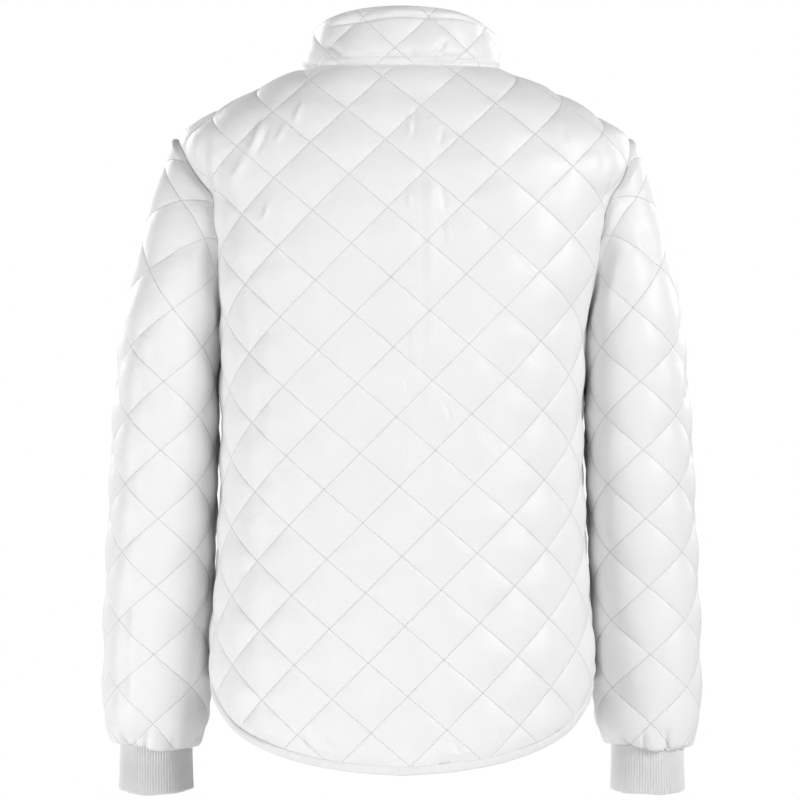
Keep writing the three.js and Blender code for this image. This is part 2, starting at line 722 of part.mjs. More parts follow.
// Front edge line, by distance down from the collar's top, x across to the wearer's left
const frontTop = walkedAt('front', neck.frontDrop);
const frontEnd = collarHeight + walkedAt('front', hemDown(180)) - frontTop;

function onFrontEdge(x, down) {
  if (down < collarHeight) {
    const s = (neckLength - Math.abs(x)) * (x < 0 ? -1 : 1);
    return { place: onCollar, flat: [s, down] };
  }
  return { place: onFront(x < 0 ? -1 : 1), flat: [Math.abs(x), frontTop + down - collarHeight] };
}

function frontRows(x0, x1, from, to) {
  const downs = spread(from, to, tapeStep).filter((down) => Math.abs(down - collarHeight) > 6);
  downs.push(collarHeight - 4, collarHeight + 4);
  downs.sort((a, b) => a - b);
  return downs.filter((down) => down >= from && down <= to).map((down) => {
    const a = onFrontEdge(x0, down);
    const b = onFrontEdge(x1, down);
    return { place: a.place, a: a.flat, b: b.flat };
  });
}

function zipTape(name, side) {
  const rows = frontRows(side * 0.4, side * zip.tapeEdge, 3, frontEnd - 2);
  return strip(name, rows, zip.tapeInner, zip.tapeOuter, tape);
}

// Frame of the zip at a distance down from the collar's top: across, down and outward
function zipFrame(down) {
  const at = (d) => {
    const { place, flat } = onFrontEdge(0.001, d);
    return place.at(...flat).setX(0);
  };
  const origin = at(down);
  const along = at(down + 2).sub(at(down - 2)).normalize();
  const outward = new THREE.Vector3(0, along.z, -along.y);
  return { origin, along, outward };
}

function zipChain() {
  const positions = [];
  const downs = spread(6, frontEnd - 14, chainStep).filter((down) => Math.abs(down - collarHeight) > 8);
  const corners = [
    [-1, zip.chainInner],
    [1, zip.chainInner],
    [1, zip.chainOuter],
    [-1, zip.chainOuter],
  ];
  downs.forEach((down) => {
    const { origin, outward } = zipFrame(down);
    corners.forEach(([across, height]) => {
      const point = origin.clone().addScaledVector(outward, height);
      positions.push(across * zip.chain, point.y, point.z);
    });
  });
  const triangles = [];
  for (let k = 0; k + 1 < downs.length; k += 1) {
    for (let n = 0; n < 4; n += 1) {
      const here = 4 * k + n;
      const beside = 4 * k + (n + 1) % 4;
      triangles.push(here, beside, beside + 4, here, beside + 4, here + 4);
    }
  }
  const end = 4 * (downs.length - 1);
  triangles.push(0, 2, 1, 0, 3, 2, end, end + 1, end + 2, end, end + 2, end + 3);
  return named('zip_chain', geometryOf(positions, faceOutward(positions, triangles)), coil);
}

// Blocks of the slider and its pull, from low to high corners: across, down and outward
function blocks(list) {
  const solids = list.map(([low, high]) => {
    const size = high.map((value, axis) => value - low[axis]);
    const box = new THREE.BoxGeometry(...size);
    box.translate(...low.map((value, axis) => value + size[axis] / 2));
    return solidOf(box);
  });
  const whole = solids.reduce((sum, solid) => sum.add(solid)).getMesh();
  return geometryOf(Array.from(whole.vertProperties), Array.from(whole.triVerts));
}

// Mesh set on the zip: its own axes are across (to the wearer's right), down and outward
function setOnZip(mesh, down, height) {
  const { origin, along, outward } = zipFrame(down);
  const across = new THREE.Vector3().crossVectors(along, outward);
  mesh.setRotationFromMatrix(new THREE.Matrix4().makeBasis(across, along, outward));
  mesh.position.copy(origin).addScaledVector(outward, height);
  return mesh;
}

const slider = { down: 14, pivot: 3.7, post: 4.5, bridge: 1, lip: 3.1 };

function zipSlider() {
  const geometry = blocks([
    [[-5, -6, 1.2], [5, 6, 2.4]],
    [[-4.1, -6, zip.chainInner], [-slider.lip, 6, 1.2]],
    [[slider.lip, -6, zip.chainInner], [4.1, 6, 1.2]],
    [[-slider.bridge, -slider.post, 2.4], [slider.bridge, -3.3, 6.2]],
    [[-slider.bridge, 3.3, 2.4], [slider.bridge, slider.post, 6.2]],
    [[-slider.bridge, -slider.post, 5], [slider.bridge, slider.post, 6.2]],
  ]);
  return setOnZip(named('zip_slider', geometry, metal), slider.down, 0);
}

function zipPull() {
  const thick = 0.6;
  const geometry = blocks([
    [[-3.2, -0.7, -0.7], [3.2, 0.7, 0.7]],
    [[-3.2, 0, -thick], [-1.5, 9, thick]],
    [[1.5, 0, -thick], [3.2, 9, thick]],
    [[-3.4, 8, -thick], [3.4, 30, thick]],
  ]);
  return setOnZip(named('zip_pull', geometry, metal), slider.down, slider.pivot);
}

function zipEndBox() {
  const geometry = blocks([[[-4, -5, zip.chainInner], [4, 5, 1.3]]]);
  return setOnZip(named('zip_end_box', geometry, metal), frontEnd - 8, 0);
}

// Ribbed cuff: ribs stand up in its outer points, over a plain inside
function ribbedCuff(side, name) {
  const rows = [
    { down: sleeveBottom + seamGap, grow: 0 },
    { down: sleeveBottom + cuff.length, grow: cuff.flare },
  ];
  const read = (column) => readTable(sleeveRings, 'down', sleeveBottom, column);
  const columns = 2 * cuff.ribs;
  const ringOf = (count, down, inset) => {
    const reach = sleeveReach(sleeveBottom);
    return Array.from({ length: count }, (_, k) => {
      const rib = inset === 0 && k % 2 === 1 ? -cuff.relief : 0;
      const point = ringPoint(side, 4 * reach * k / count, sleeveBottom);
      const out = point.clone().sub(new THREE.Vector3(side * read('out'), read('back'), point.z));
      const grow = readTable(rows, 'down', down, 'grow') + rib - inset;
      return point.addScaledVector(out.normalize(), grow).setZ(-down);
    });
  };
  const outer = rows.map(({ down }) => ringOf(columns, down, 0));
  const innerCount = columns / 4;
  const inner = rows.map(({ down }) => ringOf(innerCount, down, cuff.relief + cuff.wall));
  const positions = [...outer.flat(), ...inner.flat()].flatMap(({ x, y, z }) => [x, y, z]);
  const triangles = [];
  const wallFaces = (start, count, turned) => {
    for (let row = 0; row + 1 < rows.length; row += 1) {
      for (let k = 0; k < count; k += 1) {
        const next = (k + 1) % count;
        const a = start + row * count + k;
        const b = start + row * count + next;
        const faces = [a, a + count, b + count, a, b + count, b];
        triangles.push(...(turned ? faces.reverse() : faces));
      }
    }
  };
  const innerStart = rows.length * columns;
  wallFaces(0, columns, false);
  wallFaces(innerStart, innerCount, true);
  [[0, innerStart, false], [columns, innerStart + innerCount, true]].forEach(([out, inn, turned]) => {
    for (let k = 0; k < columns; k += 1) {
      const near = inn + Math.floor((k + 2) / 4) % innerCount;
      const after = inn + Math.floor((k + 3) / 4) % innerCount;
      const next = out + (k + 1) % columns;
      const faces = [out + k, next, near];
      if (near !== after) faces.push(next, after, near);
      triangles.push(...(turned ? faces.reverse() : faces));
    }
  });
  return named(name, geometryOf(positions, faceOutward(positions, triangles)), knit);
}

const jacket = new THREE.Group();
jacket.add(
  backPanel(),
  frontPanel(1, 'front_left'),
  frontPanel(-1, 'front_right'),
  sleevePanel(1, 'sleeve_left'),
  sleevePanel(-1, 'sleeve_right'),
  collarPanel(),
  ribbedCuff(1, 'cuff_left'),
  ribbedCuff(-1, 'cuff_right'),
  hemBinding('hem_binding_back', 'back', 1, onBack),
  hemBinding('hem_binding_left', 'front', 1, onFront(1)),
  hemBinding('hem_binding_right', 'front', -1, onFront(-1)),
  zipTape('zip_tape_left', 1),
  zipTape('zip_tape_right', -1),
  zipChain(),
  zipSlider(),
  zipPull(),
  zipEndBox(),
);

export default jacket;
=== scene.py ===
"""Quilted thermal jacket: its cloth, sewing, rib knit and zip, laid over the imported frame."""

import math

import bpy
import numpy as np
from bpy.props import FloatProperty, FloatVectorProperty, IntProperty, PointerProperty
from bpy.types import Operator, Panel, PropertyGroup
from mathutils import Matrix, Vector
from mathutils.geometry import delaunay_2d_cdt


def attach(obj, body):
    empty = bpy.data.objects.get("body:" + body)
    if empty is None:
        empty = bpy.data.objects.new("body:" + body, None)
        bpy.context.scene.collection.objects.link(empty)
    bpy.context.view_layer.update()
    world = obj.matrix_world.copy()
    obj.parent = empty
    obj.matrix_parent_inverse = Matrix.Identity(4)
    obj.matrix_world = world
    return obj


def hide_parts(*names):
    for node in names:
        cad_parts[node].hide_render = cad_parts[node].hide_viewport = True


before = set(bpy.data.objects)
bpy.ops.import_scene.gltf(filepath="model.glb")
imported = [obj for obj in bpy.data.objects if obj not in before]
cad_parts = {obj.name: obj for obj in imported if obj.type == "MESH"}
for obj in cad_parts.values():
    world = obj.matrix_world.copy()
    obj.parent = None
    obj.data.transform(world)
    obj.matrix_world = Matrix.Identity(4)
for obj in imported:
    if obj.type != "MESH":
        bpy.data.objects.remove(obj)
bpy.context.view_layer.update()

bl_info = {
    "name": "Quilted thermal jacket",
    "version": (1, 0, 0),
    "blender": (4, 5, 0),
    "location": "View3D > Sidebar > Jacket",
    "description": "Sews the quilted panels, collar, cuffs, hem binding and zip of a thermal jacket",
    "category": "Object",
}

# Sizes below are in millimetres until a mesh is made. X is the wearer's left, Y the back, Z up.

MM = 0.001


def columns(names, *rows):
    """Table with named columns, from its rows."""
    return dict(zip(names.split(), np.array(rows, dtype=float).T))


# Quilting: lattice origin (s, t) and turn of each cut piece, and the size of one diamond
QUILT_WIDTH = 75.7
QUILT_HEIGHT = 70.3
QUILT_ROUNDNESS = 0.7
STAND = 0.36
CELL_SIDE = math.hypot(QUILT_WIDTH, QUILT_HEIGHT) / 2
LATTICES = {
    "back": (0, 509, math.radians(2.3)),
    "front": (0, 509, 0),
    "sleeve": (0, 394, 0),
    "collar": (7, 47, 0),
}

# Where grid lines lie within a cell, from one stitch line to its middle, closer near the stitches
CELL_STOPS = (0, 0.02, 0.05, 0.1, 0.165, 0.24, 0.325, 0.41)

# The cut
LENGTH = 720
SEAM_GAP = 0.3
SIDE_INSET = 0.25
ARMHOLE_GAP = 0.5
NECK = {"half": 98, "drop": 85, "square": 2.2, "dip": 1.5}
COLLAR = {"back": 61, "side": 30.5, "front": -20, "half": 92, "y_back": 57, "y_front": -77}
COLLAR_MIDDLE = -8
COLLAR_BULGE = 4
COLLAR_HEIGHT = 63.5
COLLAR_TUCK = 3
ARMHOLE = {"top": -73, "bottom": -255, "back": 58, "front": 60, "square": 2.2}
BINDING_WIDTH = 9
SLEEVE_TOP = 290
SLEEVE_BOTTOM = 702
GATHER_FROM = 655
SLEEVE_SQUARE = 2.3
TIGHT_FROM = 1.25
CUFF_LENGTH = 50
CUFF_FLARE = 1.5
RIB_POINTS = 6
ZIP_EDGE = 5
TAPE_EDGE = 12
TAPE_FACES = (-4.7, -3.95)
RING_STEPS = 80

# How far in from each edge the cloth comes to its full height
SOFT = {
    "shoulder": 12,
    "armhole": 10,
    "underarm": 34,
    "side": 10,
    "hem": 9,
    "neck": 8,
    "zip": 10,
    "seam": 12,
    "gathers": 5,
    "fold": 7,
}

# Steps along the outlines of the cut: depths and lengths, turns round an armhole, shares of a hem
SHOULDER_STEP = 3
SIDE_STEP = 4
SLEEVE_STEP = 5
TURN_STEP = 0.03
HEM_STEP = 0.012
BINDING_STEP = 0.008
NECK_STEP = 0.02
HEM_START = 1 / 60
NECK_END = 0.985

# The sleeve's cap: where its edge starts and ends beside the seam, and how its cloth leaves and arrives
CAP_TURNS = (-0.996, 2.996)
CAP_STEP = 0.035
CAP_LEAD = 12
CAP_ARRIVAL = 0.36

# The middle of the arm within a sleeve
ARM = {
    "top": 200,
    "bottom": 700,
    "bend": 260,
    "bend_over": 60,
    "lean": 0.35,
    "in_from": 250,
    "in_over": 50,
    "in_to": 195,
}

# How the gathered end of a sleeve rolls over its cuff: from a depth, over a length, outward and downward
ROLL = {"from": 680, "over": 20, "out": 2.6, "down": 6.5}

# Grids of points on the cloth: the fine one over the gathers, the plain one inside, and the margin left
# at the edges
GATHER_GRID = {"from": 677, "clear": 1.5, "across": 1.8, "down": 1.9, "margin": 1.3}
PLAIN_STEP = 7
EDGE_MARGIN = 1.1

# Creases: how much each bows, how long its ends are, and the grid lines beside it, in half widths
CREASE_BOW = 0.06
CREASE_MOST_BOW = 1.5
CREASE_END = 0.35
CREASE_OFFSETS = np.array((-2, -1.3, -0.7, 0, 0.7, 1.3, 2))
CREASE_CLEAR = 2.4

# Stitches: the share of the pitch that one spans. How far its ends sink, its middle swells and its line
# lies above the cloth, in thread widths. How far topstitching runs from an edge.
STITCH_SPAN = 0.68
STITCH_ENDS = 0.4
STITCH_HEIGHT = 0.55
QUILTING_LIFT = 0.2
TOPSTITCH_LIFT = 0.3
TOPSTITCH_INSET = 3.5

# The hem binding: where its two lines of stitches run, how high they lie, its turned edge and its ripple
BINDING_STITCHES = (0.2, 0.36)
BINDING_STITCH_HEIGHT = 1.2
BINDING_RIPPLE = 0.18

# The zip: where the tape and the teeth start and end, and a tooth's sections from its tape to its tip
TAPE_START = 0.4
TAPE_ENDS = (3, 2)
TEETH_ENDS = (6.5, 15)
TOOTH = columns(
    "across half low high",
    (-0.9, 0.45, -2.6, 0.5),
    (0.6, 0.55, -3, 0.8),
    (2.6, 0.4, -3.3, 0.3),
)
TOOTH_LENGTH = 0.9

# The stage, in metres: floor, camera, and each lamp's place and share of the key light's power
FLOOR_RADIUS = 1.5
FLOOR_SIDES = 96
CAMERA_PLACE = (0.002, 3.6, -0.343)
CAMERA_LENS = 155.7
SENSOR_WIDTH = 36
LAMP_SIZE = 1.6
LAMPS_AIM = (0, 0, -0.35)
LAMPS = {
    "key": ((-2.7, 2.3, 1.0), 1.0),
    "back_fill": ((0.9, 4.0, 0.2), 0.27),
    "side_fill": ((3.0, 1.6, -0.9), 0.6),
    "front_key": ((2.4, -2.6, 1.0), 0.95),
    "front_fill": ((-2.6, -2.6, 0.8), 0.5),
}

TORSO = columns(
    "down left right back front square",
    (0, 98, 98, 75, 42, 2.2),
    (9, 117, 117, 80, 49, 2.35),
    (21.5, 146, 146, 87, 58, 2.5),
    (34.5, 170, 170, 92, 66, 2.65),
    (46.5, 191, 191, 97, 72, 2.8),
    (59.5, 210, 210, 102, 78, 2.9),
    (73, 228, 229, 106, 84, 3),
    (85, 227, 234, 110, 88, 3.1),
    (99, 222, 236, 114, 94, 3.15),
    (119, 210, 230, 118, 101, 3.2),
    (134, 199, 220, 121, 106, 3.2),
    (164, 195, 212, 124, 114, 3.15),
    (200, 194, 207, 125, 120, 3.1),
    (230, 191, 200, 125, 123, 3.05),
    (255, 187, 191, 124, 124, 3),
    (300, 185, 186, 123, 125, 2.9),
    (390, 184, 184, 121, 123, 2.7),
    (440, 185.5, 185.5, 121, 121, 2.55),
    (540, 191, 191, 124, 120, 2.4),
    (590, 196, 196, 127, 120, 2.3),
    (640, 198, 198, 129, 120, 2.25),
    (730, 198, 198, 132, 120, 2.2),
)

SLEEVE = columns(
    "down out back half depth",
    (290, 241.5, -8, 46, 70),
    (340, 244.5, -10, 49.5, 69),
    (393, 247, -13, 51.5, 67),
    (443, 249, -16, 51.5, 65),
    (493, 251.5, -20, 51.5, 62),
    (543, 253.5, -24, 51, 60),
    (593, 255.5, -28, 50.5, 58),
    (643, 256.5, -32, 49, 56),
    (667, 257, -34, 48, 54),
    (680, 257.5, -35, 46, 51),
    (692, 258, -36, 41.5, 46),
    (702, 258, -36, 37.5, 41.5),
    (760, 258, -36, 37.5, 41.5),
)

# How far a sleeve blouses out on its way down to the cuff
BLOUSE = columns(
    "down rise",
    (120, 2),
    (190, 3.5),
    (245, 5),
    (290, 3.2),
    (340, 1.2),
    (440, 0.8),
    (560, 2.4),
    (640, 3.6),
    (672, 4.8),
    (684, 5),
    (692, 3.6),
    (698, 1.6),
    (702, 0),
)

HEM = columns(
    "angle rise",
    (0, 0),
    (20, 4.4),
    (40, 15),
    (60, 35),
    (75, 62),
    (90, 83),
    (105, 92),
    (125, 95),
    (180, 90),
)

# How the sleeve's cloth arrives at the armhole, by how far round from the shoulder it is
CAP = columns(
    "from_top inward lift follow",
    (0, 0.8, 0.6, 1),
    (0.5, 0.85, 0.5, 0.5),
    (1, 0.9, 0.4, 0),
    (1.5, 0.6, 0.8, 0),
    (2, 0.35, 0.95, 0),
)

# Sections of the cuff and of the hem binding: place along the band, height above its surface,
# and for the cuff how much of its ribs shows there
CUFF_SECTION = columns(
    "down height rib",
    (0.3, -3.1, 0),
    (0.3, -1.6, 0.2),
    (0.7, -0.6, 0.5),
    (1.8, 0, 0.8),
    (4, 0.15, 1),
    (8, 0.1, 1),
    (13, 0, 1),
    (19, 0, 1),
    (25, 0, 1),
    (31, 0, 1),
    (37, 0, 1),
    (42, 0.1, 1),
    (46, 0.25, 1),
    (48.3, 0.2, 0.95),
    (49.5, -0.4, 0.8),
    (50, -1.3, 0.5),
    (49.8, -2.3, 0.3),
    (48.6, -3, 0.1),
    (44, -3.1, 0),
    (30, -3.1, 0),
    (15, -3.1, 0),
)
BINDING_SECTION = columns(
    "across height",
    (0.03, -2.3),
    (0, -1),
    (0.01, 0.2),
    (0.06, 0.85),
    (0.2, 1.2),
    (0.4, 1.3),
    (0.6, 1.25),
    (0.8, 1.05),
    (0.94, 0.55),
    (1, -0.4),
    (0.98, -1.6),
    (0.9, -2.3),
    (0.5, -2.4),
)


def read(table, key, place, column):
    """Smooth curve through one column of a table, read at places along its key column."""
    keys, values = table[key], table[column]
    where = np.clip(place, keys[0], keys[-1])
    k = np.searchsorted(keys[1:-1], where, side="left")
    before, after = np.maximum(k - 1, 0), np.minimum(k + 2, len(keys) - 1)
    step = keys[k + 1] - keys[k]
    f = (where - keys[k]) / step
    start = (values[k + 1] - values[before]) / (keys[k + 1] - keys[before]) * step
    end = (values[after] - values[k]) / (keys[after] - keys[k]) * step
    rise = values[k + 1] - values[k]
    return values[k] + f * (start + f * ((start + end - 2 * rise) * f + 3 * rise - 2 * start - end))


def smooth(value):
    """Smooth step from 0 to 1."""
    value = np.clip(value, 0, 1)
    return value * value * (3 - 2 * value)


def spread(start, end, step):
    """Evenly spaced values from one number to another, both ends included."""
    return np.linspace(start, end, max(1, round(abs(end - start) / step)) + 1)


def unit(vectors):
    """Vectors of length 1 in the same directions."""
    return vectors / np.maximum(np.linalg.norm(vectors, axis=-1, keepdims=True), 1e-9)


def walk_along(line):
    """Length walked along a line at each of its points."""
    return np.concatenate([[0], np.cumsum(np.linalg.norm(np.diff(line, axis=0), axis=1))])


def quarter_oval(half, depth, square):
    """Quarter of a squared oval, from the depth axis to the width axis, with the length walked."""
    angle = np.linspace(0, math.pi / 2, RING_STEPS + 1)
    across, along = np.sin(angle), np.maximum(np.cos(angle), 0)
    half, depth, square = (np.atleast_1d(value).astype(float)[:, None] for value in (half, depth, square))
    radius = ((across / half) ** square + (along / depth) ** square) ** (-1 / square)
    x, y = radius * across, radius * along
    walked = np.cumsum(np.hypot(np.diff(x, prepend=x[:, :1]), np.diff(y, prepend=y[:, :1])), axis=1)
    return {"x": x, "y": y, "walked": walked}


def along_oval(oval, field, value):
    """Places on quarter ovals where one of their fields has the given values."""
    value = np.atleast_1d(value)[:, None]
    shape = (max(len(value), len(oval["x"])), RING_STEPS + 1)
    full = {name: np.broadcast_to(column, shape) for name, column in oval.items()}
    column = full[field]
    grows = column[:, -1:] > column[:, :1]
    passed = (column[:, 1:-1] < value) == grows
    k = passed.sum(axis=1)[:, None]

    def pick(rows):
        return np.take_along_axis(rows, k, 1)[:, 0], np.take_along_axis(rows, k + 1, 1)[:, 0]

    low, high = pick(column)
    f = np.clip((value[:, 0] - low) / (high - low), 0, 1)
    return {name: a + (b - a) * f for name, (a, b) in ((n, pick(c)) for n, c in full.items())}


# The torso


def centre_walk(face):
    """Depths down the centre back or front, with the length walked along the cloth."""
    step = 4.0
    down = np.arange(0, LENGTH + 13, step)
    depth = read(TORSO, "down", down, face)
    walked = np.concatenate([[0], np.cumsum(np.hypot(step, np.diff(depth)))])
    return {"down": down, "walked": walked}


CENTRE_WALKS = {"back": centre_walk("back"), "front": centre_walk("front")}


def walked_at(face, down):
    """Length walked down a face's centre to a depth."""
    return read(CENTRE_WALKS[face], "down", down, "walked")


def torso_oval(face, side, down):
    """Quarter ring of the torso at each depth; side is 1 for the wearer's left."""
    names = ("left", "right", face, "square")
    left, right, depth, square = (read(TORSO, "down", down, name) for name in names)
    return quarter_oval(np.where(np.asarray(side) > 0, left, right), depth, square)


def torso_place(face, s, t, side=None):
    """Points of the torso at s round from the centre and t down the centre."""
    side = np.where(s < 0, -1, 1) if side is None else np.full(len(s), side)
    down = read(CENTRE_WALKS[face], "walked", t, "down")
    place = along_oval(torso_oval(face, side, down), "walked", np.abs(s))
    y = place["y"] if face == "back" else -place["y"]
    return np.stack([side * place["x"], y, -down], axis=1)


def torso_inside(point):
    """Points within the torso, level with or below the given ones."""
    zero = np.zeros(len(point))
    return np.stack([zero, zero, np.minimum(point[:, 2], -60) - 30], axis=1)


def side_edge(face, side, down):
    """Flat places of the shoulder and side seam at each depth."""
    reach = torso_oval(face, side, down)["walked"][:, -1] - SIDE_INSET
    return np.stack([side * reach, walked_at(face, down)], axis=1)


def armhole_place(face, turn, grow):
    """Y and Z of the armhole loop; turn runs from 0 on the shoulder to 2 under the arm."""
    half = (ARMHOLE["top"] - ARMHOLE["bottom"]) / 2
    oval = quarter_oval(half + grow, ARMHOLE[face] + grow, ARMHOLE["square"])
    upper = turn < 1
    place = along_oval(oval, "walked", oval["walked"][0, -1] * np.where(upper, 1 - turn, turn - 1))
    centre = (ARMHOLE["top"] + ARMHOLE["bottom"]) / 2
    return place["y"], centre + np.where(upper, place["x"], -place["x"])


def armhole_edge(face, side, turn):
    """Flat places of the armhole's edge on a torso panel."""
    y, z = armhole_place(face, turn, ARMHOLE_GAP / 2)
    oval = torso_oval(face, side, -z)
    reach = np.minimum(along_oval(oval, "y", y)["walked"], oval["walked"][:, -1] - SIDE_INSET)
    return np.stack([side * reach, walked_at(face, -z)], axis=1)


def hem_down(angle):
    """Depth of the hem at an angle round from the centre back, in degrees."""
    return LENGTH - read(HEM, "angle", angle, "rise")


def hem_edge(face, side, share, above):
    """Flat places along a panel's hem, a distance above it."""
    down = hem_down(90 * share if face == "back" else 180 - 90 * share) - above
    reach = torso_oval(face, side, down)["walked"][:, -1] - SIDE_INSET
    return np.stack([side * share * reach, walked_at(face, down)], axis=1)


def side_edges(face, side):
    """The side of a torso panel from the neck down: shoulder, armhole and side seam."""
    shoulder = spread(SEAM_GAP, -ARMHOLE["top"] - ARMHOLE_GAP / 2, SHOULDER_STEP)
    hem_end = float(hem_down(90)) - BINDING_WIDTH - SEAM_GAP
    under = spread(-ARMHOLE["bottom"] + ARMHOLE_GAP / 2, hem_end, SIDE_STEP)
    return [
        (SOFT["shoulder"], side_edge(face, side, shoulder)),
        (SOFT["armhole"], armhole_edge(face, side, spread(0, TIGHT_FROM, TURN_STEP))),
        (SOFT["underarm"], armhole_edge(face, side, spread(TIGHT_FROM, 2, TURN_STEP))),
        (SOFT["side"], side_edge(face, side, under)),
    ]


def neck_line(side, share):
    """Half width, depth and flat place of the front neck line, from the side neck point."""
    angle = share * math.pi / 2
    x = NECK["half"] * np.maximum(np.cos(angle), 0) ** (2 / NECK["square"])
    down = NECK["drop"] * np.sin(angle) ** NECK["dip"]
    return x, down, along_oval(torso_oval("front", side, down), "x", x)["walked"]


def flipped(edge):
    """The same edge run the other way."""
    return edge[0], edge[1][::-1]


def back_panel():
    """The back: one piece from the neck to the hem."""
    left = side_edges("back", 1)
    right = [flipped(edge) for edge in side_edges("back", -1)][::-1]
    shares = spread(0, 1, HEM_STEP)
    hem = [
        (SOFT["hem"], hem_edge("back", 1, shares, BINDING_WIDTH + SEAM_GAP)[::-1]),
        (SOFT["hem"], hem_edge("back", -1, shares, BINDING_WIDTH + SEAM_GAP)),
    ]
    start, end = right[-1][1][-1], left[0][1][0]
    neck = (SOFT["neck"], np.linspace(start, end, 60))
    return {
        "place": lambda s, t: torso_place("back", s, t),
        "inside": torso_inside,
        "lattice": LATTICES["back"],
        "edges": [neck, *left, *hem, *right],
    }


def front_panel(side):
    """One front, from the zip's edge to the side seam."""
    sides = [(soft, np.abs(points) * (1, 1)) for soft, points in side_edges("front", side)]
    hem = hem_edge("front", 1, spread(HEM_START, 1, HEM_STEP), BINDING_WIDTH + SEAM_GAP)[::-1]
    hem[:, 0] = np.maximum(hem[:, 0], ZIP_EDGE)
    _, down, s = neck_line(side, spread(0, NECK_END, NECK_STEP))
    line = np.stack([np.maximum(s, ZIP_EDGE), walked_at("front", down) + SEAM_GAP], axis=1)
    line[-1, 0] = hem[-1, 0] = ZIP_EDGE
    zip_edge = np.linspace(hem[-1], line[-1], 150)
    return {
        "place": lambda s, t: torso_place("front", s, t, side),
        "inside": torso_inside,
        "lattice": LATTICES["front"],
        "edges": [(SOFT["neck"], line[:0:-1]), *sides, (SOFT["hem"], hem), (SOFT["zip"], zip_edge)],
    }


# The sleeves


def sleeve_oval(down):
    """Quarter ring of a sleeve at each depth."""
    half, depth = (read(SLEEVE, "down", down, name) for name in ("half", "depth"))
    return quarter_oval(half, depth, SLEEVE_SQUARE)


def sleeve_reach(down):
    """Quarter of a sleeve's girth as it hangs."""
    return sleeve_oval(down)["walked"][:, -1]


def cut_reach(down):
    """Quarter of a sleeve's girth as cut, before the cuff gathers it."""
    return sleeve_reach(np.minimum(down, GATHER_FROM))


def ring_point(side, s, down):
    """Points of a sleeve at s round from the middle of its back, positive to the outside."""
    oval = sleeve_oval(down)
    reach = oval["walked"][:, -1]
    turn = np.mod(np.mod(s / reach, 4) + 4, 4)
    lap = np.floor(turn)
    part = turn - lap
    place = along_oval(oval, "walked", reach * np.where(lap % 2 == 0, part, 1 - part))
    outward = np.where(lap < 2, 1, -1)
    backward = np.where((lap == 0) | (lap == 3), 1, -1)
    x = read(SLEEVE, "down", down, "out") + outward * place["x"]
    y = read(SLEEVE, "down", down, "back") + backward * place["y"]
    return np.stack([side * x, y, -down * np.ones(len(s))], axis=1)


def armhole_point(side, face, turn):
    """Points of the armhole loop on the sleeve's side of the seam."""
    y, z = armhole_place(face, np.clip(turn, 0, 2), -ARMHOLE_GAP / 2)
    x = along_oval(torso_oval(face, side, -z), "y", y)["x"]
    return np.stack([side * x, y if face == "back" else -y, z], axis=1)


def cap_end(side, s):
    """Where the sleeve meets the armhole, the loop's direction there and how far from the top."""
    turn = np.mod(np.mod(s / sleeve_reach(np.array([SLEEVE_TOP])), 4) + 4, 4)
    behind = ((turn < 1) | (turn > 3))[:, None]
    from_top = np.where(turn < 1, 1 - turn, np.where(turn > 3, 5 - turn, np.abs(turn - 1)))

    def loop(where):
        return np.where(behind, armhole_point(side, "back", where), armhole_point(side, "front", where))

    return loop(from_top), unit(loop(from_top + 0.05) - loop(from_top - 0.05)), from_top


def cap_curve(side, s):
    """Course of the sleeve's cloth over the cap: ends and directions."""
    top = np.full(len(s), float(SLEEVE_TOP))
    start = ring_point(side, s, top)
    end, turn, from_top = cap_end(side, s)
    reach = np.linalg.norm(start - end, axis=1, keepdims=True)
    below = top + CAP_LEAD
    lower = ring_point(side, s * sleeve_reach(below) / sleeve_reach(top), below)
    leave = unit(start - lower) * reach
    inward, lift, follow = (read(CAP, "from_top", from_top, name) for name in ("inward", "lift", "follow"))
    free = np.stack([-side * inward, np.zeros(len(s)), lift], axis=1)
    along = (free * turn).sum(axis=1, keepdims=True) * follow[:, None]
    return start, leave, end, unit(free - turn * along) * CAP_ARRIVAL * reach


def on_curve(curve, f):
    """Points of cap curves at shares f of their way."""
    start, leave, end, arrive = curve
    f = np.asarray(f)[:, None]
    point = start * (2 * f**3 - 3 * f**2 + 1) + leave * (f**3 - 2 * f**2 + f)
    return point + end * (3 * f**2 - 2 * f**3) + arrive * (f**3 - f**2)


def curve_length(curve):
    """Lengths of cap curves."""
    points = [on_curve(curve, np.full(len(curve[0]), f)) for f in np.linspace(0, 1, 11)]
    return sum(np.linalg.norm(b - a, axis=1) for a, b in zip(points, points[1:]))


def sleeve_place(side, s, t):
    """Points of a sleeve at s round it and t down it."""
    down = np.maximum(t, SLEEVE_TOP)
    point = ring_point(side, s * sleeve_reach(down) / cut_reach(down), down)
    cap = t < SLEEVE_TOP
    if cap.any():
        curve = cap_curve(side, s[cap])
        point[cap] = on_curve(curve, (SLEEVE_TOP - t[cap]) / curve_length(curve))
    return point


def sleeve_inside(side, point):
    """Points along the middle of the arm."""
    down = np.clip(-point[:, 2], ARM["top"], ARM["bottom"])
    bent = ARM["lean"] * np.clip(down - ARM["bend"], -ARM["bend_over"], 0)
    out = read(SLEEVE, "down", down, "out") - bent
    lean = np.clip((ARM["in_from"] - down) / ARM["in_over"], 0, 1)
    x = side * (out + (ARM["in_to"] - out) * lean)
    return np.stack([x, read(SLEEVE, "down", down, "back"), -down], axis=1)


def cuff_roll(side, flat):
    """How much the sleeve's end rolls over the cuff at flat places."""
    s = flat[:, 0] * side
    around = 0.5 - 0.45 * np.sin((s - 8) / 27) + 0.2 * np.sin(s / 11 + 2)
    return np.clip(around, 0.05, 1) * smooth((flat[:, 1] - ROLL["from"]) / ROLL["over"])


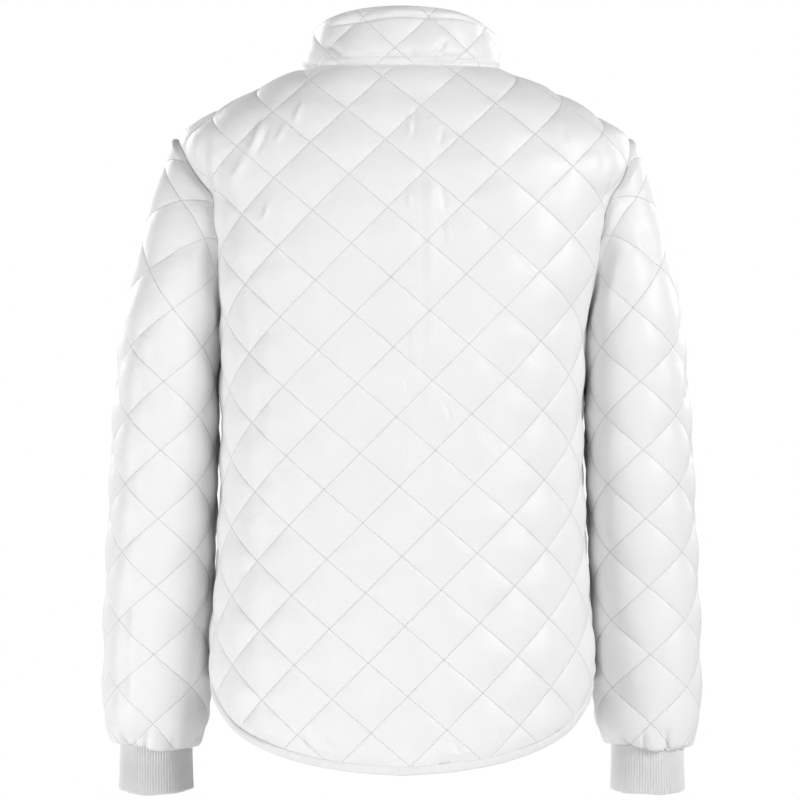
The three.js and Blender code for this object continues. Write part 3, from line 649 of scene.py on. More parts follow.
def sleeve_panel(side):
    """One sleeve: a single piece with its seam inside the arm."""
    turns = spread(*CAP_TURNS, CAP_STEP)
    s = turns * sleeve_reach(np.array([SLEEVE_TOP]))
    cap = np.stack([s, SLEEVE_TOP - curve_length(cap_curve(side, s))], axis=1)
    gathered = spread(GATHER_FROM, SLEEVE_BOTTOM, SLEEVE_STEP)[1:]
    downs = np.concatenate([spread(SLEEVE_TOP, GATHER_FROM, SLEEVE_STEP), gathered])
    outer = np.stack([3 * cut_reach(downs) - SEAM_GAP / 2, downs], axis=1)
    inner = np.stack([-cut_reach(downs) + SEAM_GAP / 2, downs], axis=1)[::-1]
    cap[0, 0], cap[-1, 0] = inner[-1, 0], outer[0, 0]
    tight = round((2 - TIGHT_FROM) / CAP_STEP)
    bottom = np.linspace(outer[-1], inner[0], 140)
    return {
        "place": lambda s, t: sleeve_place(side, s, t),
        "inside": lambda point: sleeve_inside(side, point),
        "lattice": LATTICES["sleeve"],
        "lift": BLOUSE,
        "roll": lambda flat: cuff_roll(side, flat),
        "edges": [
            (SOFT["underarm"], cap[: tight + 1]),
            (SOFT["armhole"], cap[tight:-tight]),
            (SOFT["underarm"], cap[-tight - 1 :]),
            (SOFT["seam"], outer),
            (SOFT["gathers"], bottom),
            (SOFT["seam"], inner),
        ],
    }


# The collar


def with_walk(points):
    """Table of a line's points with the length walked along it."""
    return {"walked": walk_along(points), "x": points[:, 0], "y": points[:, 1], "z": points[:, 2]}


def neck_loop():
    """Half of the neck line, from the centre back to the centre front."""
    oval = torso_oval("back", 1, np.zeros(1))
    back = np.stack([oval["x"][0], oval["y"][0], np.zeros(RING_STEPS + 1)], axis=1)
    x, down, _ = neck_line(1, np.linspace(0, 1, RING_STEPS + 1)[1:])
    y = along_oval(torso_oval("front", 1, down), "x", x)["y"]
    return with_walk(np.concatenate([back, np.stack([x, -y, -down], axis=1)]))


def collar_top_loop():
    """Half of the collar's top edge, from the centre back to the centre front."""
    angle = np.linspace(0, math.pi, 2 * RING_STEPS + 1)
    level = (COLLAR["back"] + COLLAR["front"]) / 2
    z = level + (COLLAR["back"] - level) * np.cos(angle) + (COLLAR["side"] - level) * np.sin(angle) ** 2
    back, front = COLLAR["y_back"], COLLAR["y_front"]
    y = (back + front) / 2 + np.cos(angle) * (back - front) / 2
    return with_walk(np.stack([COLLAR["half"] * np.sin(angle), y, z], axis=1))


NECK_LOOP = neck_loop()
TOP_LOOP = collar_top_loop()
NECK_LENGTH = NECK_LOOP["walked"][-1]


def collar_place(s, t):
    """Points of the collar at s round from the centre back and t down from its top edge."""
    share = np.abs(s) / NECK_LENGTH
    lift = (1 - t / COLLAR_HEIGHT)[:, None]

    def loop(table):
        walked = share * table["walked"][-1]
        return np.stack([read(table, "walked", walked, name) for name in "xyz"], axis=1)

    point = loop(NECK_LOOP) * (1 - lift) + loop(TOP_LOOP) * lift
    out = unit(point * (1, 1, 0) - (0, COLLAR_MIDDLE, 0))
    point = point + out * COLLAR_BULGE * np.sin(math.pi * np.clip(lift, 0, 1))
    point[:, 0] *= np.where(s < 0, -1, 1)
    return point


def collar_panel():
    """The collar: one band with its ends at the zip."""
    end = NECK_LENGTH - ZIP_EDGE - 0.8
    low = COLLAR_HEIGHT + COLLAR_TUCK
    stops = spread(-end, end, 3)
    level = np.ones(len(stops))
    return {
        "place": collar_place,
        "inside": lambda point: point * (0, 0, 1) + (0, COLLAR_MIDDLE, -5),
        "lattice": LATTICES["collar"],
        "edges": [
            (SOFT["fold"], np.stack([stops, 0 * level], axis=1)),
            (SOFT["seam"], np.linspace((end, 0), (end, low), 20)),
            (SOFT["neck"], np.stack([stops, low * level], axis=1)[::-1]),
            (SOFT["seam"], np.linspace((-end, low), (-end, 0), 20)),
        ],
    }


# Creases listed one by one, as soft ridges (height over 0) and troughs, in the flat cut of each piece:
# the ends of the crease, its half width and its height
CREASE_COLUMNS = "s0 t0 s1 t1 width height"
CREASES = {
    "back": columns(
        CREASE_COLUMNS,
        (100, 44, 110, 72, 2.8, 2.2),
        (140, 62, 156, 106, 3.4, 3.2),
        (134, 70, 149, 106, 2.4, -1.6),
        (117, 68, 129, 94, 2.8, 2),
        (157, 100, 174, 130, 4.2, 2.6),
        (134, 150, 142, 174, 2.6, 1.8),
        (196, 82, 206, 260, 4.5, 3),
        (204, 76, 214, 138, 6.5, -5),
        (-28, 32, -28, 430, 4, 1.3),
        (-18, 60, -19, 420, 3.4, -0.9),
        (44, 130, 47, 500, 6, 0.8),
        (56, 130, 57, 500, 4.5, -0.6),
        (-6, 58, -6, 90, 2.4, 1.5),
        (-12, 50, -12, 88, 2.2, -1.2),
        (-40, 72, -38, 96, 3, -1.7),
        (-37, 132, -44, 168, 3.2, -1.9),
        (-42, 168, -48, 200, 2.8, 2),
        (-6, 136, -6, 164, 2.6, 1.5),
        (-8, 278, -10, 312, 2.6, 1.6),
        (0, 322, -6, 348, 2.4, -1.3),
        (-2, 348, -6, 376, 3, 1.6),
        (-40, 350, -51, 378, 3, -1.7),
        (-2, 386, -4, 422, 2.6, -1.5),
        (-204, 88, -206, 126, 4.5, -1.9),
        (-160, 70, -166, 92, 3, -1.2),
        (-221, 112, -216, 158, 3, -2),
        (-68, 232, -74, 472, 8, 0.9),
        (60, 120, 66, 420, 9, 0.8),
        (-110, 150, -104, 430, 10, 0.7),
        (112, 250, 118, 470, 9, -0.8),
        (178, 512, 174, 558, 6, -1),
        (104, 686, 92, 707, 3.6, -2.4),
        (80, 690, 64, 712, 4, -2.8),
        (30, 694, 26, 714, 3, -1.4),
        (-16, 694, -26, 716, 3.6, -2.2),
        (-48, 690, -60, 712, 3.2, -1.9),
        (-96, 682, -104, 700, 3, -1.3),
        (128, 672, 120, 692, 3, -1.2),
    ),
    "front_left": columns(
        CREASE_COLUMNS,
        (134, 66, 148, 104, 3.4, 1.9),
        (112, 74, 122, 98, 2.8, 1.2),
        (158, 96, 166, 124, 3.6, 1.4),
        (62, 150, 66, 330, 7, 0.9),
        (100, 250, 92, 440, 9, -0.8),
        (34, 190, 38, 300, 4, 0.9),
        (8, 158, 32, 164, 5, 1.2),
        (8, 262, 28, 268, 5, 1),
        (8, 384, 32, 376, 6, 1.2),
        (8, 502, 28, 510, 5, 1),
        (86, 612, 76, 636, 3.6, -2),
        (44, 614, 48, 636, 3.2, -1.8),
        (150, 606, 142, 632, 4, -1.6),
    ),
    "front_right": columns(
        CREASE_COLUMNS,
        (138, 64, 150, 100, 3.2, 1.7),
        (118, 78, 126, 98, 2.6, 1.1),
        (70, 170, 66, 350, 8, 0.8),
        (112, 260, 106, 450, 9, -0.9),
        (30, 160, 34, 250, 4, 0.8),
        (8, 200, 30, 194, 5, 1.1),
        (8, 318, 30, 326, 6, 1.1),
        (8, 446, 28, 440, 5, 1),
        (72, 614, 64, 638, 3.8, -2),
        (120, 610, 110, 634, 3.6, -1.8),
    ),
    "sleeve_left": columns(
        CREASE_COLUMNS,
        (65, 678, 50, 724, 3.4, -5),
        (30, 678, 46, 722, 3, -4.6),
        (21, 684, 33, 716, 2.8, 2.4),
        (2, 676, 20, 722, 3.2, -3.8),
        (-24, 684, -16, 716, 3.4, -1.6),
        (-56, 680, -48, 720, 3.8, -2.6),
        (92, 676, 84, 722, 3.6, -4),
        (118, 682, 124, 718, 3.2, -3),
        (148, 678, 142, 722, 3.8, -4.2),
        (176, 684, 180, 716, 3.2, -2.4),
        (208, 678, 200, 722, 3.6, -4),
        (238, 682, 232, 720, 3.4, -3.2),
        (20, 500, 21, 690, 5, 1.8),
        (31, 520, 31, 680, 5, -0.8),
        (-29, 358, -41, 422, 5, -2),
        (-57, 546, -38, 596, 6, -2.2),
        (12, 194, -23, 250, 5, 2.2),
        (60, 236, 52, 330, 7, 0.9),
        (150, 412, 205, 432, 6, -2),
        (142, 446, 208, 458, 5, -1.6),
        (160, 380, 196, 396, 5, -1.3),
    ),
    "sleeve_right": columns(
        CREASE_COLUMNS,
        (-29, 676, -27, 722, 3.2, -4),
        (-8, 678, 0, 724, 3.2, -4.6),
        (16, 676, 26, 720, 3, -4),
        (48, 682, 42, 718, 3.4, -2.6),
        (74, 680, 82, 720, 3.4, -3.4),
        (106, 682, 100, 718, 3.8, -2.8),
        (134, 678, 140, 722, 3.4, -4),
        (166, 682, 160, 718, 3.8, -2.6),
        (196, 678, 202, 722, 3.4, -3.8),
        (228, 680, 222, 720, 3.6, -3),
        (-56, 684, -60, 716, 3.2, -2.4),
        (-43, 358, -53, 422, 5, -2),
        (31, 176, 35, 228, 4.5, -2.2),
        (-2, 206, -28, 268, 5, 2.4),
        (58, 250, 50, 350, 7, 0.9),
        (146, 420, 206, 436, 6, -1.9),
        (150, 452, 204, 466, 5, -1.5),
    ),
    "collar": columns(
        CREASE_COLUMNS,
        (92, 19, 10, 15.5, 2, -3.2),
        (34, 16.2, -60, 13, 2, -3),
        (-40, 13.2, -92, 13, 2, -2.4),
        (90, 56, -100, 57, 2, -3),
        (90, 34, 56, 60, 3.4, -2.8),
        (-48, 34, -28, 58, 3, -2.4),
        (-4, 47, -17, 61, 2.6, -1.8),
        (150, 14, 230, 18, 2.4, -1.2),
        (-150, 16, -226, 14, 2.4, -1.2),
    ),
}


def crease_height(name, s, t):
    """Height that the creases of a piece add at flat places."""
    total = np.zeros(len(s))
    for s0, t0, s1, t1, width, height in zip(*CREASES[name].values()):
        reach = math.hypot(s1 - s0, t1 - t0)
        ds, dt = (s1 - s0) / reach, (t1 - t0) / reach
        along = (s - s0) * ds + (t - t0) * dt
        bow = min(CREASE_BOW * reach, CREASE_MOST_BOW) * np.sin(math.pi * along / reach)
        across = (t - t0) * ds - (s - s0) * dt - bow
        ends = smooth(along / (CREASE_END * reach)) * smooth((reach - along) / (CREASE_END * reach))
        total += height * ends * np.exp(-((across / width) ** 2))
    return total


# Flat quilted sheets


def to_lattice(lattice, s, t):
    """Flat places counted in cells along the two ways that the stitch lines run."""
    s0, t0, turn = lattice
    x, y = s - s0, t - t0
    u = x * math.cos(turn) + y * math.sin(turn)
    v = -x * math.sin(turn) + y * math.cos(turn) + QUILT_HEIGHT / 2
    return u / QUILT_WIDTH + v / QUILT_HEIGHT, u / QUILT_WIDTH - v / QUILT_HEIGHT


def from_lattice(lattice, a, b):
    """Flat places of points counted in cells."""
    s0, t0, turn = lattice
    u = (a + b) / 2 * QUILT_WIDTH
    v = (a - b) / 2 * QUILT_HEIGHT - QUILT_HEIGHT / 2
    s = s0 + u * math.cos(turn) - v * math.sin(turn)
    return np.stack([s, t0 + u * math.sin(turn) + v * math.cos(turn)], axis=1)


def cell_height(lattice, s, t):
    """1 in the middle of a quilted cell and 0 along its stitch lines."""
    a, b = to_lattice(lattice, s, t)
    return np.abs(np.cos(math.pi * a) * np.cos(math.pi * b)) ** QUILT_ROUNDNESS


def in_blocks(work, *arrays, block=8000):
    """Runs work on long arrays a block at a time, to keep memory small."""
    pieces = [work(*(array[k : k + block] for array in arrays)) for k in range(0, len(arrays[0]), block)]
    return np.concatenate(pieces)


def distance_to(line, flat):
    """Distance from flat places to a line of flat points."""
    a, d = line[:-1], np.diff(line, axis=0)
    reach = np.maximum((d**2).sum(axis=1), 1e-9)

    def nearest(points):
        gap = points[:, None] - a
        f = np.clip((gap * d).sum(axis=2) / reach, 0, 1)
        return np.sqrt(((gap - f[..., None] * d) ** 2).sum(axis=2).min(axis=1))

    return in_blocks(nearest, flat)


def within(outline, flat):
    """Which flat places lie inside a closed outline."""
    a, b = outline, np.roll(outline, -1, axis=0)

    def count(points):
        s, t = points[:, :1], points[:, 1:]
        across = (a[:, 1] > t) != (b[:, 1] > t)
        rise = np.where(a[:, 1] == b[:, 1], 1, b[:, 1] - a[:, 1])
        cut = (b[:, 0] - a[:, 0]) * (t - a[:, 1]) / rise + a[:, 0]
        return (across & (s < cut)).sum(axis=1) % 2 == 1

    return in_blocks(count, flat)


def outline_of(panel):
    """Closed outline of a panel, without repeated points."""
    points = np.concatenate([points for _, points in panel["edges"]])
    return points[np.linalg.norm(points - np.roll(points, 1, axis=0), axis=1) > 0.05]


def inner_points(outline, flat, margin):
    """Those flat places that lie inside an outline and off its edge."""
    low, high = outline.min(axis=0), outline.max(axis=0)
    flat = flat[((flat > low) & (flat < high)).all(axis=1)]
    flat = flat[within(outline, flat)]
    closed = np.concatenate([outline, outline[:1]])
    return flat[distance_to(closed, flat) > margin]


def along_creases(name):
    """Each crease of a piece: its start, direction, length and half width."""
    for s0, t0, s1, t1, width, _ in zip(*CREASES[name].values()):
        start, way = np.array((s0, t0)), np.array((s1 - s0, t1 - t0))
        reach = math.hypot(*way)
        yield start, way / reach, reach, width


def crease_grid(name, flat):
    """Flat places of a grid, with a finer one in place of its points along each crease."""
    for start, way, reach, width in along_creases(name):
        side = np.array((-way[1], way[0]))
        along, across = (flat - start) @ way, (flat - start) @ side
        flat = flat[(along < -1) | (along > reach + 1) | (np.abs(across) > CREASE_CLEAR * width)]
        stops = spread(0, reach, max(2, width))
        fine = start + stops[:, None, None] * way + (CREASE_OFFSETS * width)[:, None] * side
        flat = np.concatenate([flat, fine.reshape(-1, 2)])
    return flat


def quilt_grid(name, panel, outline):
    """Points of a grid that follows the stitch lines, the creases and the gathers, within the outline."""
    a, b = to_lattice(panel["lattice"], outline[:, 0], outline[:, 1])
    stops = np.array([*CELL_STOPS, 0.5, *(1 - np.array(CELL_STOPS[:0:-1]))])

    def lines(values):
        cells = np.arange(math.floor(values.min() - 0.5), math.ceil(values.max() + 0.5)) + 0.5
        return (cells[:, None] + stops).ravel()

    a, b = np.meshgrid(lines(a), lines(b))
    flat = crease_grid(name, from_lattice(panel["lattice"], a.ravel(), b.ravel()))
    if name.startswith("sleeve"):
        fine = GATHER_GRID
        s = spread(outline[:, 0].min(), outline[:, 0].max(), fine["across"])
        s, t = np.meshgrid(s, spread(fine["from"], SLEEVE_BOTTOM - fine["margin"], fine["down"]))
        above = flat[flat[:, 1] < fine["from"] - fine["clear"]]
        flat = np.concatenate([above, np.stack([s.ravel(), t.ravel()], axis=1)])
    return inner_points(outline, flat, EDGE_MARGIN)


def plain_grid(outline, step):
    """Points of an even grid within the outline."""
    low, high = outline.min(axis=0), outline.max(axis=0)
    s, t = np.meshgrid(np.arange(low[0], high[0], step), np.arange(low[1], high[1], step))
    return inner_points(outline, np.stack([s.ravel(), t.ravel()], axis=1), step * 0.4)


def triangulate(outline, inner):
    """Triangles of a flat sheet, from its outline and the points inside it."""
    flat = np.concatenate([outline, inner])
    count = len(outline)
    ring = [(k, (k + 1) % count) for k in range(count)]
    result = delaunay_2d_cdt([Vector(point) for point in flat.tolist()], ring, [], 1, 1e-6)
    source = [origins[0] for origins in result[3]]
    return flat, np.array([[source[corner] for corner in face] for face in result[2]])


def corner_normals(points, faces, inside):
    """Outward normals at the corners of a mesh."""
    a, b, c = (points[faces[:, k]] for k in range(3))
    face_normals = np.cross(b - a, c - a)
    normals = np.zeros_like(points)
    for axis in range(3):
        for k in range(3):
            normals[:, axis] += np.bincount(faces[:, k], face_normals[:, axis], len(points))
    normals = unit(normals)
    facing = ((points - inside(points)) * normals).sum(axis=1)
    return normals if facing.sum() > 0 else -normals


def panel_height(name, panel, puff, flat):
    """Height of the cloth's outer face above its surface at flat places."""
    s, t = flat[:, 0], flat[:, 1]
    height = puff * (STAND + (1 - STAND) * cell_height(panel["lattice"], s, t))
    if "lift" in panel:
        height += read(panel["lift"], "down", t, "rise")
    near = np.ones(len(flat))
    for soft, line in panel["edges"]:
        share = smooth(distance_to(line, flat) / soft)
        height *= share
        if soft > SOFT["gathers"]:
            near = np.minimum(near, share)
    return height + near * crease_height(name, s, t)


def new_piece(name, points, faces, material, uvs=None, smooth_angle=None):
    """Mesh object from points in millimetres, faces and flat coordinates for its material."""
    mesh = bpy.data.meshes.new(name)
    mesh.from_pydata((points * MM).tolist(), [], [list(face) for face in faces])
    mesh.polygons.foreach_set("use_smooth", [smooth_angle is not None] * len(mesh.polygons))
    if smooth_angle is not None:
        mesh.set_sharp_from_angle(angle=math.radians(smooth_angle))
    corners = np.empty(len(mesh.loops), dtype=np.int32)
    mesh.loops.foreach_get("vertex_index", corners)
    for label, values in (uvs or {}).items():
        layer = mesh.uv_layers.new(name=label)
        layer.data.foreach_set("uv", values[corners].astype(np.float32).ravel())
    mesh.materials.append(material)
    mesh.validate()
    mesh.update()
    piece = bpy.data.objects.new(name, mesh)
    bpy.context.scene.collection.objects.link(piece)
    return piece


def ride(piece, node, body="jacket"):
    """Lets a piece ride on a body, and stand for a node of the frame where one is named."""
    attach(piece, body)
    if node:
        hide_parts(node)
    return piece


def sew_panel(name, panel, puff, wall, material):
    """Quilted panel as a closed sheet: puffed outside and plain inside."""
    outline = outline_of(panel)
    rim = len(outline)
    flat, faces = triangulate(outline, quilt_grid(name, panel, outline))
    base = in_blocks(panel["place"], flat[:, 0], flat[:, 1])
    height = panel_height(name, panel, puff, flat)
    normals = corner_normals(base, faces, panel["inside"])
    outer = base + normals * height[:, None]
    if "roll" in panel:
        roll = panel["roll"](flat)[:, None]
        outer += normals * (1, 1, 0) * roll * ROLL["out"] - roll * (0, 0, ROLL["down"])
    plain, plain_faces = triangulate(outline, plain_grid(outline, PLAIN_STEP))
    base = in_blocks(panel["place"], plain[:, 0], plain[:, 1])
    inner = base - corner_normals(base, plain_faces, panel["inside"]) * wall
    start = len(outer)
    next_one = np.roll(np.arange(rim), -1)
    band = np.stack([np.arange(rim), next_one, next_one + start, np.arange(rim) + start], axis=1)
    points = np.concatenate([outer, inner])
    triangles = np.concatenate([faces, plain_faces[:, ::-1] + start])
    if not faces_out(points, triangles[: len(faces)], panel["inside"]):
        triangles = triangles[:, ::-1]
    else:
        band = band[:, ::-1]
    cut = np.concatenate([flat, plain])
    cells = np.stack(to_lattice(panel["lattice"], cut[:, 0], cut[:, 1]), axis=1)
    faces = triangles.tolist() + band.tolist()
    piece = new_piece(name + "_cloth", points, faces, material, {"cut": cut * MM, "cells": cells}, 60)
    return piece, outline


def faces_out(points, faces, inside):
    """Whether faces wind outward."""
    a, b, c = (points[faces[:, k]] for k in range(3))
    return ((a - inside(a)) * np.cross(b - a, c - a)).sum() > 0


# Thread


def stitch_row(panel, centres, steps, size, height):
    """Corners of stitches laid on a panel: centres and steps are flat, size is length and width."""
    half = steps * size[0] / 2
    side = np.stack([-steps[:, 1], steps[:, 0]], axis=1)

    def at(flat):
        return in_blocks(panel["place"], flat[:, 0], flat[:, 1])

    start, end = at(centres - half), at(centres + half)
    across = unit(at(centres + side) - at(centres - side))
    middle = (start + end) / 2
    normal = unit(np.cross(end - start, across))
    facing = ((middle - panel["inside"](middle)) * normal).sum(axis=1, keepdims=True)
    normal = normal * np.sign(facing)
    rise = normal * height[:, None]
    width = across * size[1] / 2
    return np.stack(
        [
            start + rise - normal * size[1] * STITCH_ENDS,
            end + rise - normal * size[1] * STITCH_ENDS,
            middle + rise + width,
            middle + rise - width,
            middle + rise + normal * size[1] * STITCH_HEIGHT,
            middle + rise - normal * size[1] * STITCH_HEIGHT,
        ],
        axis=1,
    )


STITCH_FACES = np.array(
    [(0, 4, 2), (0, 3, 4), (0, 5, 3), (0, 2, 5), (1, 2, 4), (1, 4, 3), (1, 3, 5), (1, 5, 2)]
)


def thread_piece(name, stitches, material):
    """One mesh from many stitches of six corners each."""
    stitches = np.concatenate(stitches)
    faces = (np.arange(len(stitches))[:, None, None] * 6 + STITCH_FACES).reshape(-1, 3)
    return new_piece(name, stitches.reshape(-1, 3), faces.tolist(), material, smooth_angle=180)


def quilting_stitches(name, panel, puff, pitch, width):
    """Stitches along all the quilting lines of a panel."""
    outline = outline_of(panel)
    a, b = to_lattice(panel["lattice"], outline[:, 0], outline[:, 1])
    step = pitch / CELL_SIDE
    groups = []
    for lines, runs, swap in ((a, b, False), (b, a, True)):
        line = np.arange(math.floor(lines.min()), math.ceil(lines.max()) + 1) + 0.5
        run = (np.arange(math.floor(runs.min() / step), math.ceil(runs.max() / step)) + 0.5) * step
        line, run = (grid.ravel() for grid in np.meshgrid(line, run))
        order = (run, line) if swap else (line, run)
        flat = from_lattice(panel["lattice"], *order)
        ahead = (run + step, line) if swap else (line, run + step)
        way = unit(from_lattice(panel["lattice"], *ahead) - flat)
        keep = within(outline, flat)
        flat, way = flat[keep], way[keep]
        keep = distance_to(np.concatenate([outline, outline[:1]]), flat) > 2
        groups.append((flat[keep], way[keep]))
    centres, ways = (np.concatenate(parts) for parts in zip(*groups))
    height = panel_height(name, panel, puff, centres) + width * QUILTING_LIFT
    return stitch_row(panel, centres, ways, (pitch * STITCH_SPAN, width), height)


def stitches_along(panel, line, cloth, height):
    """Stitches along a line of flat points on a panel; height(flat) is how far up they lie."""
    pitch, width = cloth.pitch, cloth.thread_width
    walked = walk_along(line)
    stops = np.arange(pitch / 2, walked[-1] - pitch / 2, pitch)

    def at(place):
        return np.stack([np.interp(place, walked, line[:, axis]) for axis in range(2)], axis=1)

    ways = unit(at(stops + 0.4) - at(stops - 0.4))
    lift = height(at(stops)) + width * TOPSTITCH_LIFT
    return stitch_row(panel, at(stops), ways, (pitch * STITCH_SPAN, width), lift)


def inset(line, distance):
    """A line moved sideways within the flat piece, to the right of the way it runs."""
    way = unit(np.gradient(line, axis=0))
    return line + np.stack([-way[:, 1], way[:, 0]], axis=1) * distance


# Shader nodes


def node(tree, kind, label=None, **settings):
    """New node with its settings."""
    item = tree.nodes.new(kind)
    if label:
        item.label = label
    for name, value in settings.items():
        setattr(item, name, value)
    return item


def feed(tree, value, socket):
    """Links a socket into another, or sets its value."""
    if isinstance(value, bpy.types.NodeSocket):
        tree.links.new(value, socket)
    else:
        socket.default_value = value


def calc(tree, operation, *values):
    """Output of a Math node."""
    item = node(tree, "ShaderNodeMath", operation=operation)
    for value, socket in zip(values, item.inputs):
        feed(tree, value, socket)
    return item.outputs[0]


def times(tree, *values):
    """Product of two values."""
    return calc(tree, "MULTIPLY", *values)


def plus(tree, *values):
    """Sum of two values."""
    return calc(tree, "ADD", *values)


def minus(tree, *values):
    """Difference of two values."""
    return calc(tree, "SUBTRACT", *values)


def fade(tree, value, low, high, to_low=0.0, to_high=1.0):
    """Smooth change from one value to another between two limits."""
    item = node(tree, "ShaderNodeMapRange", interpolation_type="SMOOTHSTEP")
    for source, socket in zip((value, low, high, to_low, to_high), item.inputs):
        feed(tree, source, socket)
    return item.outputs[0]


def noise(tree, vector, scale, detail=2.0):
    """Noise value over a vector."""
    item = node(tree, "ShaderNodeTexNoise")
    feed(tree, vector, item.inputs["Vector"])
    item.inputs["Scale"].default_value = scale
    item.inputs["Detail"].default_value = detail
    return item.outputs["Fac"]


def vector(tree, x, y, z=0.0):
    """Vector from three values."""
    item = node(tree, "ShaderNodeCombineXYZ")
    for value, socket in zip((x, y, z), item.inputs):
        feed(tree, value, socket)
    return item.outputs[0]


def parts(tree, value):
    """The values of a vector."""
    item = node(tree, "ShaderNodeSeparateXYZ")
    feed(tree, value, item.inputs[0])
    return item.outputs


def new_group(name, inputs, outputs):
    """Empty shader group with named sockets; returns it with its input and output nodes."""
    tree = bpy.data.node_groups.new(name, "ShaderNodeTree")
    for label, kind, value in inputs:
        socket = tree.interface.new_socket(name=label, in_out="INPUT", socket_type=kind)
        if value is not None:
            socket.default_value = value
    for label, kind in outputs:
        tree.interface.new_socket(name=label, in_out="OUTPUT", socket_type=kind)
    return tree, node(tree, "NodeGroupInput").outputs, node(tree, "NodeGroupOutput").inputs


FLOAT, VECTOR = "NodeSocketFloat", "NodeSocketVector"


def quilting_group():
    """Needle holes and puckers along the stitch lines, by place counted in cells. The taffeta uses the
    Holes mask both to dent the holes and to paint shade into them.
    """
    tree, given, out = new_group(
        "quilting_marks",
        [("Cells", VECTOR, None), ("Side", FLOAT, 51.65), ("Pitch", FLOAT, 2.45), ("Hole", FLOAT, 0.45)],
        [("Holes", FLOAT), ("Pucker", FLOAT), ("Groove", FLOAT)],
    )
    first = parts(tree, given["Cells"])
    holes, puckers, grooves = [], [], []
    for k, (line, run) in enumerate(((first[0], first[1]), (first[1], first[0]))):
        off = calc(tree, "ABSOLUTE", minus(tree, calc(tree, "FRACT", line), 0.5))
        off = times(tree, off, given["Side"])
        along = times(tree, run, given["Side"])
        beat = calc(tree, "FRACT", plus(tree, calc(tree, "DIVIDE", along, given["Pitch"]), 0.5))
        beat = times(tree, calc(tree, "ABSOLUTE", minus(tree, beat, 0.5)), given["Pitch"])
        apart = calc(tree, "SQRT", plus(tree, times(tree, off, off), times(tree, beat, beat)))
        inner, outer = times(tree, given["Hole"], 0.2), times(tree, given["Hole"], 0.6)
        holes.append(fade(tree, apart, inner, outer, 1.0, 0.0))
        streak = vector(tree, times(tree, along, 0.2), times(tree, off, 0.03), 7.0 * k)
        band = times(tree, fade(tree, off, 0.5, 3.0), fade(tree, off, 5.0, 18.0, 1.0, 0.0))
        puckers.append(times(tree, minus(tree, noise(tree, streak, 1.0, 3.0), 0.5), band))
        grooves.append(fade(tree, off, 0.0, 1.1, 1.0, 0.0))
    feed(tree, calc(tree, "MAXIMUM", *holes), out["Holes"])
    feed(tree, plus(tree, *puckers), out["Pucker"])
    feed(tree, calc(tree, "MAXIMUM", *grooves), out["Groove"])
    return tree


def weave_group():
    """Plain weave with uneven threads, by place in the flat cut, in metres."""
    tree, given, out = new_group(
        "woven_threads",
        [("Cut", VECTOR, None), ("Threads per metre", FLOAT, 3600.0), ("Slub", FLOAT, 0.5)],
        [("Height", FLOAT), ("Shade", FLOAT)],
    )
    place = parts(tree, given["Cut"])
    turns = times(tree, given["Threads per metre"], math.pi)
    warp = calc(tree, "SINE", times(tree, place[0], turns))
    weft = calc(tree, "SINE", times(tree, place[1], turns))
    crossing = times(tree, warp, weft)
    streaks = []
    for long_way, short_way in ((place[0], place[1]), (place[1], place[0])):
        stretched = vector(tree, times(tree, long_way, 60.0), times(tree, short_way, 1800.0))
        streaks.append(noise(tree, stretched, 1.0, 1.0))
    slub = minus(tree, plus(tree, *streaks), 1.0)
    slub = times(tree, slub, given["Slub"])
    feed(tree, plus(tree, times(tree, crossing, 0.5), slub), out["Height"])
    feed(tree, slub, out["Shade"])
    return tree


def knit_group():
    """Rows of small loops, by place in the flat cut, in metres. Shade is the loop height less a half, used
    as painted shade between the loops.
    """
    tree, given, out = new_group(
        "knitted_loops",
        [("Cut", VECTOR, None), ("Loops per metre", FLOAT, 720.0), ("Rows per metre", FLOAT, 900.0)],
        [("Height", FLOAT), ("Shade", FLOAT)],
    )
    place = parts(tree, given["Cut"])
    across = calc(tree, "FRACT", times(tree, place[0], given["Loops per metre"]))
    across = calc(tree, "ABSOLUTE", minus(tree, across, 0.5))
    rows = times(tree, place[1], given["Rows per metre"])
    legs = calc(tree, "FRACT", plus(tree, rows, times(tree, across, 1.2)))
    loop = calc(tree, "SINE", times(tree, legs, math.pi))
    channel = fade(tree, across, 0.34, 0.5, 1.0, 0.2)
    height = times(tree, loop, channel)
    feed(tree, height, out["Height"])
    # Painted shade: low places between the loops come out darker
    feed(tree, minus(tree, height, 0.5), out["Shade"])
    return tree


def lint_group():
    """Slow uneven tone and fine fuzz over a surface, by its own place."""
    tree, given, out = new_group(
        "uneven_tone",
        [("Place", VECTOR, None), ("Patch scale", FLOAT, 14.0), ("Fine scale", FLOAT, 900.0)],
        [("Patches", FLOAT), ("Fuzz", FLOAT)],
    )
    for label, scale, detail in (("Patches", "Patch scale", 3.0), ("Fuzz", "Fine scale", 1.0)):
        item = node(tree, "ShaderNodeTexNoise")
        feed(tree, given["Place"], item.inputs["Vector"])
        feed(tree, given[scale], item.inputs["Scale"])
        item.inputs["Detail"].default_value = detail
        feed(tree, minus(tree, item.outputs["Fac"], 0.5), out[label])
    return tree


SHARED_GROUPS = {
    "quilting_marks": quilting_group,
    "woven_threads": weave_group,
    "knitted_loops": knit_group,
    "uneven_tone": lint_group,
}


def shared(tree, name, **values):
    """Places a shared effect in a material, built on first use."""
    group = bpy.data.node_groups.get(name) or SHARED_GROUPS[name]()
    item = node(tree, "ShaderNodeGroup", node_tree=group)
    for label, value in values.items():
        feed(tree, value, item.inputs[label.replace("_", " ")])
    return item.outputs


def new_material(name):
    """Material with its tree and its Principled shader."""
    material = bpy.data.materials.new(name)
    material.use_nodes = True
    return material, material.node_tree, material.node_tree.nodes["Principled BSDF"]


def tinted(tree, color, dark, share):
    """Colour mixed with a darker one by a share."""
    mix = node(tree, "ShaderNodeMix", data_type="RGBA")
    feed(tree, share, mix.inputs["Factor"])
    feed(tree, color, mix.inputs["A"])
    feed(tree, dark, mix.inputs["B"])
    return mix.outputs["Result"]


